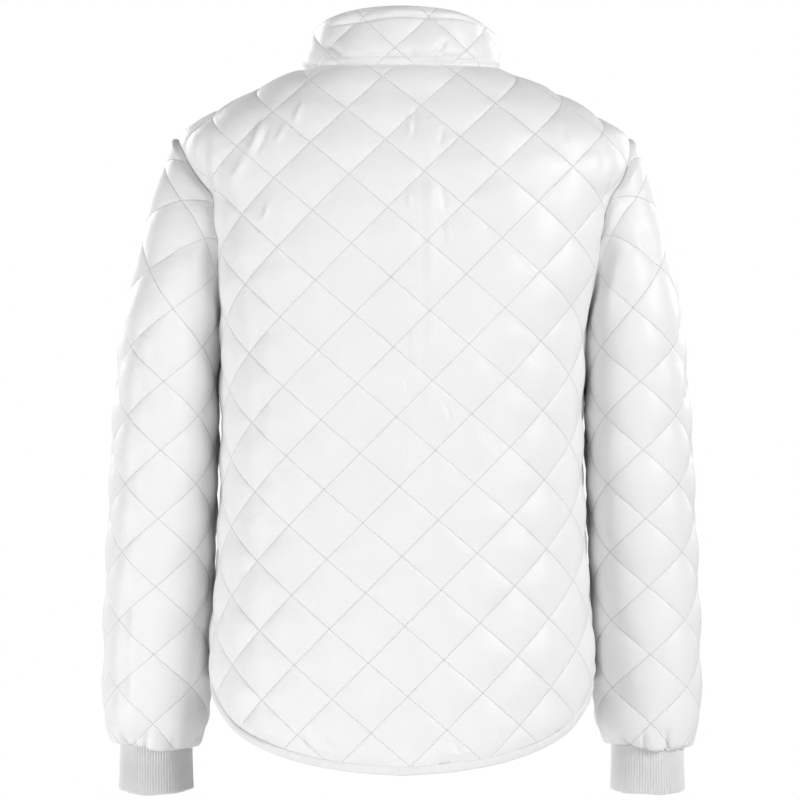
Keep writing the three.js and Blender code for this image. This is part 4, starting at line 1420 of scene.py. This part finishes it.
def raised(tree, shader, *layers):
    """Bump from several heights, each with its depth in millimetres."""
    normal = None
    for height, depth in layers:
        bump = node(tree, "ShaderNodeBump")
        bump.inputs["Distance"].default_value = depth * MM
        feed(tree, height, bump.inputs["Height"])
        if normal:
            feed(tree, normal, bump.inputs["Normal"])
        normal = bump.outputs["Normal"]
    feed(tree, normal, shader.inputs["Normal"])


def shade(color, by):
    """A colour made darker."""
    return tuple(channel * by for channel in color[:3]) + (1.0,)


def cut_place(tree, label="cut"):
    """Flat coordinates of the cloth."""
    return node(tree, "ShaderNodeUVMap", uv_map=label).outputs["UV"]


def object_place(tree):
    """The piece's own coordinates."""
    return node(tree, "ShaderNodeTexCoord").outputs["Object"]


def shell_material(cloth):
    """White taffeta with puckers and needle holes, with painted shade darkening the colour inside the
    holes.
    """
    material, tree, shader = new_material("white_taffeta")
    cut, cells = cut_place(tree), cut_place(tree, "cells")
    marks = shared(tree, "quilting_marks", Cells=cells, Side=CELL_SIDE, Pitch=cloth.pitch, Hole=cloth.hole)
    weave = shared(tree, "woven_threads", Cut=cut)
    tone = shared(tree, "uneven_tone", Place=object_place(tree), Patch_scale=16.0)
    color = tuple(cloth.color) + (1.0,)
    base = tinted(tree, color, shade(color, 0.93), plus(tree, 0.5, tone["Patches"]))
    # Painted shade: the colour is darkened inside the needle holes, standing in for the shade in the pits
    base = tinted(tree, base, shade(color, 0.32), marks["Holes"])
    feed(tree, base, shader.inputs["Base Color"])
    rough = plus(tree, cloth.roughness, times(tree, weave["Shade"], 0.12))
    feed(tree, rough, shader.inputs["Roughness"])
    shader.inputs["Sheen Weight"].default_value = 0.12
    shader.inputs["Sheen Roughness"].default_value = 0.4
    wrinkle = minus(tree, noise(tree, cut, 55.0, 4.0), 0.5)
    raised(
        tree,
        shader,
        (wrinkle, 1.2),
        (marks["Pucker"], cloth.pucker),
        (minus(tree, 0.0, marks["Groove"]), 0.12),
        (minus(tree, 0.0, marks["Holes"]), 0.25),
        (weave["Height"], 0.02),
    )
    return material


def plain_cloth_material(name, color, roughness, threads, slub):
    """Plain woven strip, as for the binding and the zip's tapes."""
    material, tree, shader = new_material(name)
    weave = shared(tree, "woven_threads", Cut=cut_place(tree), Threads_per_metre=threads, Slub=slub)
    tone = shared(tree, "uneven_tone", Place=object_place(tree))
    color = tuple(color) + (1.0,)
    base = tinted(tree, color, shade(color, 0.9), plus(tree, 0.5, tone["Patches"]))
    feed(tree, base, shader.inputs["Base Color"])
    rough = plus(tree, roughness, times(tree, weave["Shade"], 0.15))
    feed(tree, rough, shader.inputs["Roughness"])
    shader.inputs["Sheen Weight"].default_value = 0.15
    raised(tree, shader, (tone["Fuzz"], 0.1), (weave["Height"], 0.05))
    return material


def knit_material(cuffs):
    """Rib knit of the cuffs, with painted shade darkening the colour between the loops."""
    material, tree, shader = new_material("white_rib_knit")
    loops = shared(tree, "knitted_loops", Cut=cut_place(tree))
    tone = shared(tree, "uneven_tone", Place=object_place(tree), Fine_scale=1500.0)
    color = tuple(cuffs.color) + (1.0,)
    # Painted shade: the colour darkens where the loops lie low between the ribs, on top of random tone
    # patches
    share = minus(tree, plus(tree, 0.4, tone["Patches"]), times(tree, loops["Shade"], 0.5))
    feed(tree, tinted(tree, color, shade(color, 0.82), share), shader.inputs["Base Color"])
    feed(tree, plus(tree, 0.85, times(tree, tone["Fuzz"], 0.2)), shader.inputs["Roughness"])
    shader.inputs["Sheen Weight"].default_value = 0.35
    shader.inputs["Sheen Roughness"].default_value = 0.6
    raised(tree, shader, (loops["Height"], 0.25), (tone["Fuzz"], 0.2))
    return material


def thread_material(cloth):
    """Sewing thread."""
    material, tree, shader = new_material("sewing_thread")
    tone = shared(tree, "uneven_tone", Place=object_place(tree), Fine_scale=2500.0)
    color = tuple(cloth.thread) + (1.0,)
    base = tinted(tree, color, shade(color, 0.9), plus(tree, 0.5, tone["Fuzz"]))
    feed(tree, base, shader.inputs["Base Color"])
    feed(tree, plus(tree, 0.55, times(tree, tone["Fuzz"], 0.3)), shader.inputs["Roughness"])
    raised(tree, shader, (tone["Fuzz"], 0.08))
    return material


def hard_material(name, color, metallic, roughness, grain):
    """Moulded or enamelled zip parts, a little worn."""
    material, tree, shader = new_material(name)
    tone = shared(tree, "uneven_tone", Place=object_place(tree), Patch_scale=60.0, Fine_scale=grain)
    color = tuple(color) + (1.0,)
    worn = plus(tree, 0.4, tone["Patches"])
    feed(tree, tinted(tree, color, shade(color, 0.86), worn), shader.inputs["Base Color"])
    feed(tree, plus(tree, roughness, times(tree, tone["Fuzz"], 0.25)), shader.inputs["Roughness"])
    shader.inputs["Metallic"].default_value = metallic
    raised(tree, shader, (tone["Fuzz"], 0.06))
    return material


def made(name, build, *values):
    """A material made on first use."""
    return bpy.data.materials.get(name) or build(*values)


# Bands and strips


def closed_band(rows, count, wrap=False):
    """Quads of a grid of points whose sections are closed; wrap joins its last row to its first."""
    here = np.arange(rows if wrap else rows - 1)[:, None]
    following = (here + 1) % rows
    k = np.arange(count)
    beside = (k + 1) % count
    corners = ((here, k), (here, beside), (following, beside), (following, k))
    return np.stack([row * count + place for row, place in corners], axis=2).reshape(-1, 4)


def band_ends(rows, count):
    """Faces that close the two ends of a band."""
    return [list(range(count)), list(range((rows - 1) * count, rows * count))[::-1]]


def outward_faces(points, faces):
    """Faces turned so that a closed mesh has its outside out."""
    a, b, c = (points[faces[:, k]] for k in range(3))
    d = points[faces[:, 3]]
    volume = (a * np.cross(b, c)).sum() + (a * np.cross(c, d)).sum()
    return faces if volume > 0 else faces[:, ::-1]


def surface(panel, flat):
    """Points and outward normals of a panel's surface at flat places."""
    reach = 1.5

    def at(ds, dt):
        return in_blocks(panel["place"], flat[:, 0] + ds, flat[:, 1] + dt)

    point = at(0, 0)
    normal = unit(np.cross(at(reach, 0) - at(-reach, 0), at(0, reach) - at(0, -reach)))
    facing = ((point - panel["inside"](point)) * normal).sum(axis=1, keepdims=True)
    return point, normal * np.sign(facing)


def strip_piece(name, panel, tops, lows, material):
    """Strip of cloth with the binding's rounded section between two lines of flat points."""
    across, height = BINDING_SECTION["across"], BINDING_SECTION["height"]
    rows, count = len(tops), len(across)
    flat = (tops[:, None] * (1 - across[:, None]) + lows[:, None] * across[:, None]).reshape(-1, 2)
    point, normal = surface(panel, flat)
    walked = walk_along(tops)
    wave = BINDING_RIPPLE * (np.sin(walked / 2.9) * 0.6 + np.sin(walked / 1.7 + 1) * 0.4)
    lifted = height[None, :] + np.where(height[None, :] > 0, wave[:, None], 0)
    points = point + normal * lifted.reshape(-1, 1)
    faces = outward_faces(points, closed_band(rows, count)).tolist() + band_ends(rows, count)
    cut = np.stack([np.repeat(walked, count), np.tile(across, rows) * BINDING_WIDTH], axis=1)
    return new_piece(name, points, faces, material, {"cut": cut * MM}, 60)


FRONT_TOP = float(walked_at("front", NECK["drop"]))
FRONT_END = COLLAR_HEIGHT + float(walked_at("front", hem_down(180))) - FRONT_TOP


def front_edge(x, down):
    """Points beside the zip at x across and down from the collar's top, with their normals."""
    side = -1 if x < 0 else 1
    high = down < COLLAR_HEIGHT
    collar, front = collar_panel(), front_panel(side)
    point, normal = np.empty((len(down), 3)), np.empty((len(down), 3))
    flat = np.stack([np.full(high.sum(), (NECK_LENGTH - abs(x)) * side), down[high]], axis=1)
    point[high], normal[high] = surface(collar, flat)
    low = ~high
    flat = np.stack([np.full(low.sum(), abs(x)), FRONT_TOP + down[low] - COLLAR_HEIGHT], axis=1)
    point[low], normal[low] = surface(front, flat)
    return point, normal


def zip_frame(down):
    """Middle of the zip at each distance down: points, directions along it and outward."""

    def at(place):
        return front_edge(0.001, place)[0] * (0, 1, 1)

    along = unit(at(down + 2) - at(down - 2))
    outward = np.stack([0 * down, along[:, 2], -along[:, 1]], axis=1)
    return at(down), along, outward


# Properties


class JacketCloth(PropertyGroup):
    """The quilted cloth and its thread."""

    color: FloatVectorProperty(
        name="Cloth colour", description="Colour of the taffeta",
        subtype="COLOR", size=3, min=0, max=1, default=(0.88, 0.88, 0.885),
    )
    binding: FloatVectorProperty(
        name="Binding colour", description="Colour of the hem binding",
        subtype="COLOR", size=3, min=0, max=1, default=(0.86, 0.86, 0.865),
    )
    thread: FloatVectorProperty(
        name="Thread colour", description="Colour of the sewing thread",
        subtype="COLOR", size=3, min=0, max=1, default=(0.97, 0.97, 0.97),
    )
    roughness: FloatProperty(
        name="Roughness", description="How dull the taffeta is",
        subtype="FACTOR", min=0, max=1, default=0.46,
    )
    puff: FloatProperty(
        name="Puff", description="How high a quilted cell stands, in millimetres",
        min=0, max=12, default=5.6,
    )
    wall: FloatProperty(
        name="Wall", description="Thickness of the cloth at its seams, in millimetres",
        min=0.5, max=4, default=2,
    )
    pitch: FloatProperty(
        name="Stitch pitch", description="Distance between stitches, in millimetres",
        min=1, max=6, default=2.45,
    )
    hole: FloatProperty(
        name="Needle hole", description="Width of a needle hole, in millimetres",
        min=0, max=2, default=1,
    )
    pucker: FloatProperty(
        name="Pucker", description="Depth of the small puckers beside the stitches, in millimetres",
        min=0, max=3, default=0.45,
    )
    thread_width: FloatProperty(
        name="Thread width", description="Width of the thread, in millimetres",
        min=0.1, max=1.5, default=0.85,
    )


class JacketCuffs(PropertyGroup):
    """The ribbed cuffs."""

    color: FloatVectorProperty(
        name="Knit colour", description="Colour of the rib knit",
        subtype="COLOR", size=3, min=0, max=1, default=(0.9, 0.9, 0.9),
    )
    ribs: IntProperty(name="Ribs", description="Ribs round one cuff", min=20, max=160, default=90)
    relief: FloatProperty(
        name="Relief", description="Depth between the ribs, in millimetres",
        min=0, max=3, default=1.4,
    )


class JacketZip(PropertyGroup):
    """The zip."""

    tape: FloatVectorProperty(
        name="Tape colour", description="Colour of the zip's tapes",
        subtype="COLOR", size=3, min=0, max=1, default=(0.84, 0.84, 0.84),
    )
    teeth: FloatVectorProperty(
        name="Teeth colour", description="Colour of the moulded teeth",
        subtype="COLOR", size=3, min=0, max=1, default=(0.82, 0.82, 0.82),
    )
    metal: FloatVectorProperty(
        name="Enamel colour", description="Colour of the slider, pull and end box",
        subtype="COLOR", size=3, min=0, max=1, default=(0.78, 0.78, 0.78),
    )
    pitch: FloatProperty(
        name="Tooth pitch", description="Distance between teeth of one side, in millimetres",
        min=0.8, max=5, default=2.4,
    )


class JacketStage(PropertyGroup):
    """The floor, lights and camera."""

    floor: FloatProperty(
        name="Floor height", description="Height of the floor",
        subtype="DISTANCE", default=-1.25,
    )
    key: FloatProperty(name="Key light", description="Power of the large soft light", min=0, default=100)
    sky: FloatProperty(name="Surround", description="Strength of the white surround", min=0, default=0.16)


# Operators


def sew(context, name, panel):
    """Sews one quilted panel, which stands for the node of its name."""
    cloth = context.scene.jacket_cloth
    material = made("white_taffeta", shell_material, cloth)
    piece, outline = sew_panel(name, panel, cloth.puff, cloth.wall, material)
    ride(piece, name)


class JACKET_OT_back(Operator):
    """Sews the quilted back"""

    bl_idname = "jacket.sew_back"
    bl_label = "Back"

    def execute(self, context):
        sew(context, "back", back_panel())
        return {"FINISHED"}


class JACKET_OT_fronts(Operator):
    """Sews the two quilted fronts"""

    bl_idname = "jacket.sew_fronts"
    bl_label = "Fronts"

    def execute(self, context):
        sew(context, "front_left", front_panel(1))
        sew(context, "front_right", front_panel(-1))
        return {"FINISHED"}


class JACKET_OT_sleeves(Operator):
    """Sews the two quilted sleeves"""

    bl_idname = "jacket.sew_sleeves"
    bl_label = "Sleeves"

    def execute(self, context):
        sew(context, "sleeve_left", sleeve_panel(1))
        sew(context, "sleeve_right", sleeve_panel(-1))
        return {"FINISHED"}


class JACKET_OT_collar(Operator):
    """Sews the quilted stand collar"""

    bl_idname = "jacket.sew_collar"
    bl_label = "Collar"

    def execute(self, context):
        sew(context, "collar", collar_panel())
        return {"FINISHED"}


class JACKET_OT_cuffs(Operator):
    """Knits the two ribbed cuffs"""

    bl_idname = "jacket.knit_cuffs"
    bl_label = "Cuffs"

    def execute(self, context):
        cuffs = context.scene.jacket_cuffs
        material = made("white_rib_knit", knit_material, cuffs)
        for side, name in ((1, "cuff_left"), (-1, "cuff_right")):
            self.knit(side, name, cuffs, material)
        return {"FINISHED"}

    def knit(self, side, name, cuffs, material):
        """One cuff: ribs outside, a turned lower edge and a plain inside."""
        count = cuffs.ribs * RIB_POINTS
        girth = 4 * sleeve_reach(np.array([SLEEVE_BOTTOM]))[0]
        s = girth * (np.arange(count) / count - 0.25)
        ring = ring_point(side, s, np.full(count, float(SLEEVE_BOTTOM)))
        out = unit(ring - (side * SLEEVE["out"][-2], SLEEVE["back"][-2], -SLEEVE_BOTTOM))
        ribs = (np.cos(2 * math.pi * np.arange(count) / RIB_POINTS) - 1) / 2 * cuffs.relief
        down, height, rib = (CUFF_SECTION[name] for name in ("down", "height", "rib"))
        grow = height + CUFF_FLARE * down / CUFF_LENGTH + ribs[:, None] * rib
        points = ring[:, None] + out[:, None] * grow[..., None]
        turn = s / girth * 2 * math.pi
        sway = 1.4 * np.cos(2 * turn) + 0.6 * np.sin(3 * turn + side) + 0.3 * np.sin(7 * turn)
        points[..., 2] = -(SLEEVE_BOTTOM + down + sway[:, None] * (down / CUFF_LENGTH) ** 2)
        points = points.reshape(-1, 3)
        faces = outward_faces(points, closed_band(count, len(down), wrap=True))
        cut = np.stack([np.repeat(s, len(down)), np.tile(down, count)], axis=1)
        piece = new_piece(name + "_knit", points, faces.tolist(), material, {"cut": cut * MM}, 70)
        ride(piece, name)


class JACKET_OT_binding(Operator):
    """Binds the hem of the back and the fronts"""

    bl_idname = "jacket.bind_hem"
    bl_label = "Hem binding"

    def execute(self, context):
        cloth = context.scene.jacket_cloth
        name = "white_bias_strip"
        material = made(name, plain_cloth_material, name, cloth.binding, 0.5, 3000.0, 0.6)
        self.bind("back", back_panel(), "back", spread(-1, 1, BINDING_STEP), material)
        for side, name in ((1, "left"), (-1, "right")):
            self.bind(name, front_panel(side), "front", spread(HEM_START, 1, BINDING_STEP), material)
        return {"FINISHED"}

    def bind(self, name, panel, face, shares, material):
        """One strip of binding along a panel's hem."""
        side = -1 if name == "right" else 1
        sides = np.where(shares < 0, -1, side)

        def edge(above):
            rows = hem_edge(face, sides, np.abs(shares), above)
            return rows if face == "back" else np.abs(rows)

        tops, lows = edge(BINDING_WIDTH), edge(0)
        node_name = "hem_binding_" + name
        piece = strip_piece(node_name + "_strip", panel, tops, lows, material)
        ride(piece, node_name)
        cloth = bpy.context.scene.jacket_cloth
        stitches = []
        for across in BINDING_STITCHES:
            line = tops * (1 - across) + lows * across
            stitches.append(stitches_along(panel, line, cloth, self.stitch_height))
        thread = made("sewing_thread", thread_material, cloth)
        ride(thread_piece(node_name + "_stitching", stitches, thread), None)

    def stitch_height(self, flat):
        """How far up the stitches lie on the strip."""
        return np.full(len(flat), BINDING_STITCH_HEIGHT)


class JACKET_OT_stitching(Operator):
    """Sews the quilting and the topstitching"""

    bl_idname = "jacket.stitch"
    bl_label = "Stitching"

    def execute(self, context):
        cloth = context.scene.jacket_cloth
        material = made("sewing_thread", thread_material, cloth)
        panels = {
            "back": back_panel(),
            "front_left": front_panel(1),
            "front_right": front_panel(-1),
            "sleeve_left": sleeve_panel(1),
            "sleeve_right": sleeve_panel(-1),
            "collar": collar_panel(),
        }
        for name, panel in panels.items():
            stitches = [quilting_stitches(name, panel, cloth.puff, cloth.pitch, cloth.thread_width)]
            ride(thread_piece(name + "_quilting", stitches, material), None)
            if name.startswith("sleeve"):
                continue

            def height(flat):
                return panel_height(name, panel, cloth.puff, flat)

            stitches = [stitches_along(panel, line, cloth, height) for line in self.top_lines(name)]
            ride(thread_piece(name + "_topstitching", stitches, material), None)
        return {"FINISHED"}

    def top_lines(self, name):
        """Lines of topstitching on a panel, beside its armholes, zip edge or fold."""
        if name == "collar":
            end = NECK_LENGTH - ZIP_EDGE - 4
            stops = spread(-end, end, 3)
            ends = [np.linspace((side * end, 3), (side * end, COLLAR_HEIGHT - 2), 20) for side in (-1, 1)]
            return [np.stack([stops, np.full(len(stops), 3.0)], axis=1), *ends]
        face = "back" if name == "back" else "front"
        sides = {"back": (1, -1), "front_left": (1,), "front_right": (-1,)}[name]
        lines = []
        for side in sides:
            line = armhole_edge(face, side, spread(0.04, 1.96, TURN_STEP))
            if face == "front":
                line, side = np.abs(line), 1
            lines.append(inset(line, TOPSTITCH_INSET * side))
        if face == "front":
            top, low = FRONT_TOP + 3, float(walked_at("front", hem_down(180))) - BINDING_WIDTH - 2
            s = ZIP_EDGE + TOPSTITCH_INSET
            lines.append(np.linspace((s, top), (s, low), 200))
        return lines


class JACKET_OT_zip(Operator):
    """Sets in the zip: tapes, teeth and the finish of its slider, pull and end box"""

    bl_idname = "jacket.set_zip"
    bl_label = "Zip"

    def execute(self, context):
        zipper = context.scene.jacket_zip
        tape = made("zip_tape_weave", plain_cloth_material, "zip_tape_weave", zipper.tape, 0.8, 1500.0, 0.9)
        for side, name in ((1, "zip_tape_left"), (-1, "zip_tape_right")):
            self.tape(side, name, tape)
        self.teeth(zipper, made("zip_teeth", hard_material, "zip_teeth", zipper.teeth, 0.0, 0.38, 1800.0))
        metal = made("white_enamel", hard_material, "white_enamel", zipper.metal, 0.0, 0.3, 1200.0)
        for name in ("zip_slider", "zip_pull", "zip_end_box"):
            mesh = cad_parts[name].data
            mesh.materials.clear()
            mesh.materials.append(metal)
        return {"FINISHED"}

    def tape(self, side, name, material):
        """One tape, from beside the teeth to under the front."""
        downs = spread(TAPE_ENDS[0], FRONT_END - TAPE_ENDS[1], 4)
        stops = np.linspace(TAPE_START, TAPE_EDGE, 6)
        layers = []
        for height in TAPE_FACES:
            for x in stops if height == TAPE_FACES[0] else stops[::-1]:
                point, normal = front_edge(side * x, downs)
                layers.append(point + normal * height)
        points = np.stack(layers, axis=1)
        rows, count = points.shape[:2]
        points = points.reshape(-1, 3)
        faces = outward_faces(points, closed_band(rows, count)).tolist() + band_ends(rows, count)
        across = np.concatenate([stops, stops[::-1]])
        cut = np.stack([np.tile(across, rows), np.repeat(downs, count)], axis=1)
        piece = new_piece(name + "_weave", points, faces, material, {"cut": cut * MM}, 40)
        ride(piece, name)

    def teeth(self, zipper, material):
        """Two interlocked rows of teeth."""
        downs = np.arange(TEETH_ENDS[0], FRONT_END - TEETH_ENDS[1], zipper.pitch)
        section = np.array([(-1, -1), (1, -1), (1, 1), (-1, 1)])
        groups = []
        for side, shift in ((1, 0), (-1, zipper.pitch / 2)):
            origin, along, outward = zip_frame(downs + shift)
            across = np.array([1.0, 0, 0])
            corners = []
            for x, half, low, high in zip(*TOOTH.values()):
                middle = (low + high) / 2
                for a, h in section:
                    point = origin + across * side * x + along * a * half * TOOTH_LENGTH
                    corners.append(point + outward * (middle + h * (high - middle)))
            groups.append(np.stack(corners, axis=1))
        teeth = np.concatenate(groups)
        quads = np.concatenate([closed_band(3, 4), band_ends(3, 4)])
        faces = (np.arange(len(teeth))[:, None, None] * 12 + quads).reshape(-1, 4)
        piece = new_piece("zip_teeth_rows", teeth.reshape(-1, 3), faces.tolist(), material, smooth_angle=35)
        ride(piece, "zip_chain")


class JACKET_OT_stage(Operator):
    """Sets the floor, the lights and the camera"""

    bl_idname = "jacket.set_stage"
    bl_label = "Stage"

    def execute(self, context):
        stage = context.scene.jacket_stage
        self.floor(stage)
        self.surround(context.scene, stage)
        self.lights(context.scene, stage)
        self.camera(context.scene)
        return {"FINISHED"}

    def floor(self, stage):
        """Pale round floor."""
        angle = np.linspace(0, 2 * math.pi, FLOOR_SIDES + 1)[:-1]
        level = np.full(FLOOR_SIDES, stage.floor / MM)
        reach = FLOOR_RADIUS / MM
        ring = np.stack([reach * np.cos(angle), reach * np.sin(angle), level], axis=1)
        material, tree, shader = new_material("pale_floor")
        tone = shared(tree, "uneven_tone", Place=object_place(tree), Patch_scale=3.0, Fine_scale=300.0)
        base = tinted(tree, (0.9, 0.9, 0.9, 1), (0.86, 0.86, 0.86, 1), plus(tree, 0.5, tone["Patches"]))
        feed(tree, base, shader.inputs["Base Color"])
        shader.inputs["Roughness"].default_value = 0.8
        new_piece("floor", ring, [list(range(FLOOR_SIDES))], material)

    def surround(self, scene, stage):
        """White surround, dimmer as a light than it looks."""
        world = bpy.data.worlds.new("white_surround")
        world.use_nodes = True
        tree = world.node_tree
        background = tree.nodes["Background"]
        background.inputs["Color"].default_value = (1, 1, 1, 1)
        seen = node(tree, "ShaderNodeLightPath").outputs["Is Camera Ray"]
        strength = plus(tree, times(tree, seen, 1.0 - stage.sky), stage.sky)
        feed(tree, strength, background.inputs["Strength"])
        scene.world = world
        scene.view_settings.view_transform = "Standard"

    def lights(self, scene, stage):
        """Large soft lights behind the jacket's back, beside it and before it."""
        for name, (place, share) in LAMPS.items():
            lamp = bpy.data.lights.new(name, "AREA")
            lamp.energy = stage.key * share
            lamp.size = LAMP_SIZE
            item = bpy.data.objects.new(name, lamp)
            scene.collection.objects.link(item)
            item.location = place
            item.rotation_euler = (Vector(LAMPS_AIM) - Vector(place)).to_track_quat("-Z", "Y").to_euler()

    def camera(self, scene):
        """Camera level with the middle of the back."""
        lens = bpy.data.cameras.new("camera")
        lens.lens = CAMERA_LENS
        lens.sensor_width = SENSOR_WIDTH
        camera = bpy.data.objects.new("camera", lens)
        scene.collection.objects.link(camera)
        camera.location = CAMERA_PLACE
        camera.rotation_euler = (math.pi / 2, 0, math.pi)
        scene.camera = camera


class JACKET_PT_sidebar(Panel):
    """The jacket's pieces and finishes"""

    bl_label = "Thermal jacket"
    bl_idname = "JACKET_PT_sidebar"
    bl_space_type = "VIEW_3D"
    bl_region_type = "UI"
    bl_category = "Jacket"

    def draw(self, context):
        layout = self.layout
        for group in (getattr(context.scene, name) for name in GROUPS):
            box = layout.box()
            for name in group.__annotations__:
                box.prop(group, name)
        for operator in OPERATORS:
            layout.operator(operator.bl_idname)


OPERATORS = (
    JACKET_OT_back,
    JACKET_OT_fronts,
    JACKET_OT_sleeves,
    JACKET_OT_collar,
    JACKET_OT_cuffs,
    JACKET_OT_binding,
    JACKET_OT_stitching,
    JACKET_OT_zip,
    JACKET_OT_stage,
)
GROUPS = {
    "jacket_cloth": JacketCloth,
    "jacket_cuffs": JacketCuffs,
    "jacket_zip": JacketZip,
    "jacket_stage": JacketStage,
}


def register():
    for group in (*GROUPS.values(), *OPERATORS, JACKET_PT_sidebar):
        bpy.utils.register_class(group)
    for name, group in GROUPS.items():
        setattr(bpy.types.Scene, name, PointerProperty(type=group))


def unregister():
    for name in GROUPS:
        delattr(bpy.types.Scene, name)
    for group in (JACKET_PT_sidebar, *reversed(OPERATORS), *GROUPS.values()):
        bpy.utils.unregister_class(group)


def plain(bounds):
    """Bounds as plain lists."""
    return [list(corner) for corner in bounds]


def main():
    """Builds the jacket and its stage."""
    register()
    bpy.ops.jacket.sew_back()
    bpy.ops.jacket.sew_fronts()
    bpy.ops.jacket.sew_sleeves()
    bpy.ops.jacket.sew_collar()
    bpy.ops.jacket.knit_cuffs()
    bpy.ops.jacket.bind_hem()
    bpy.ops.jacket.stitch()
    bpy.ops.jacket.set_zip()
    bpy.ops.jacket.set_stage()


if __name__ == "__main__":
    main()
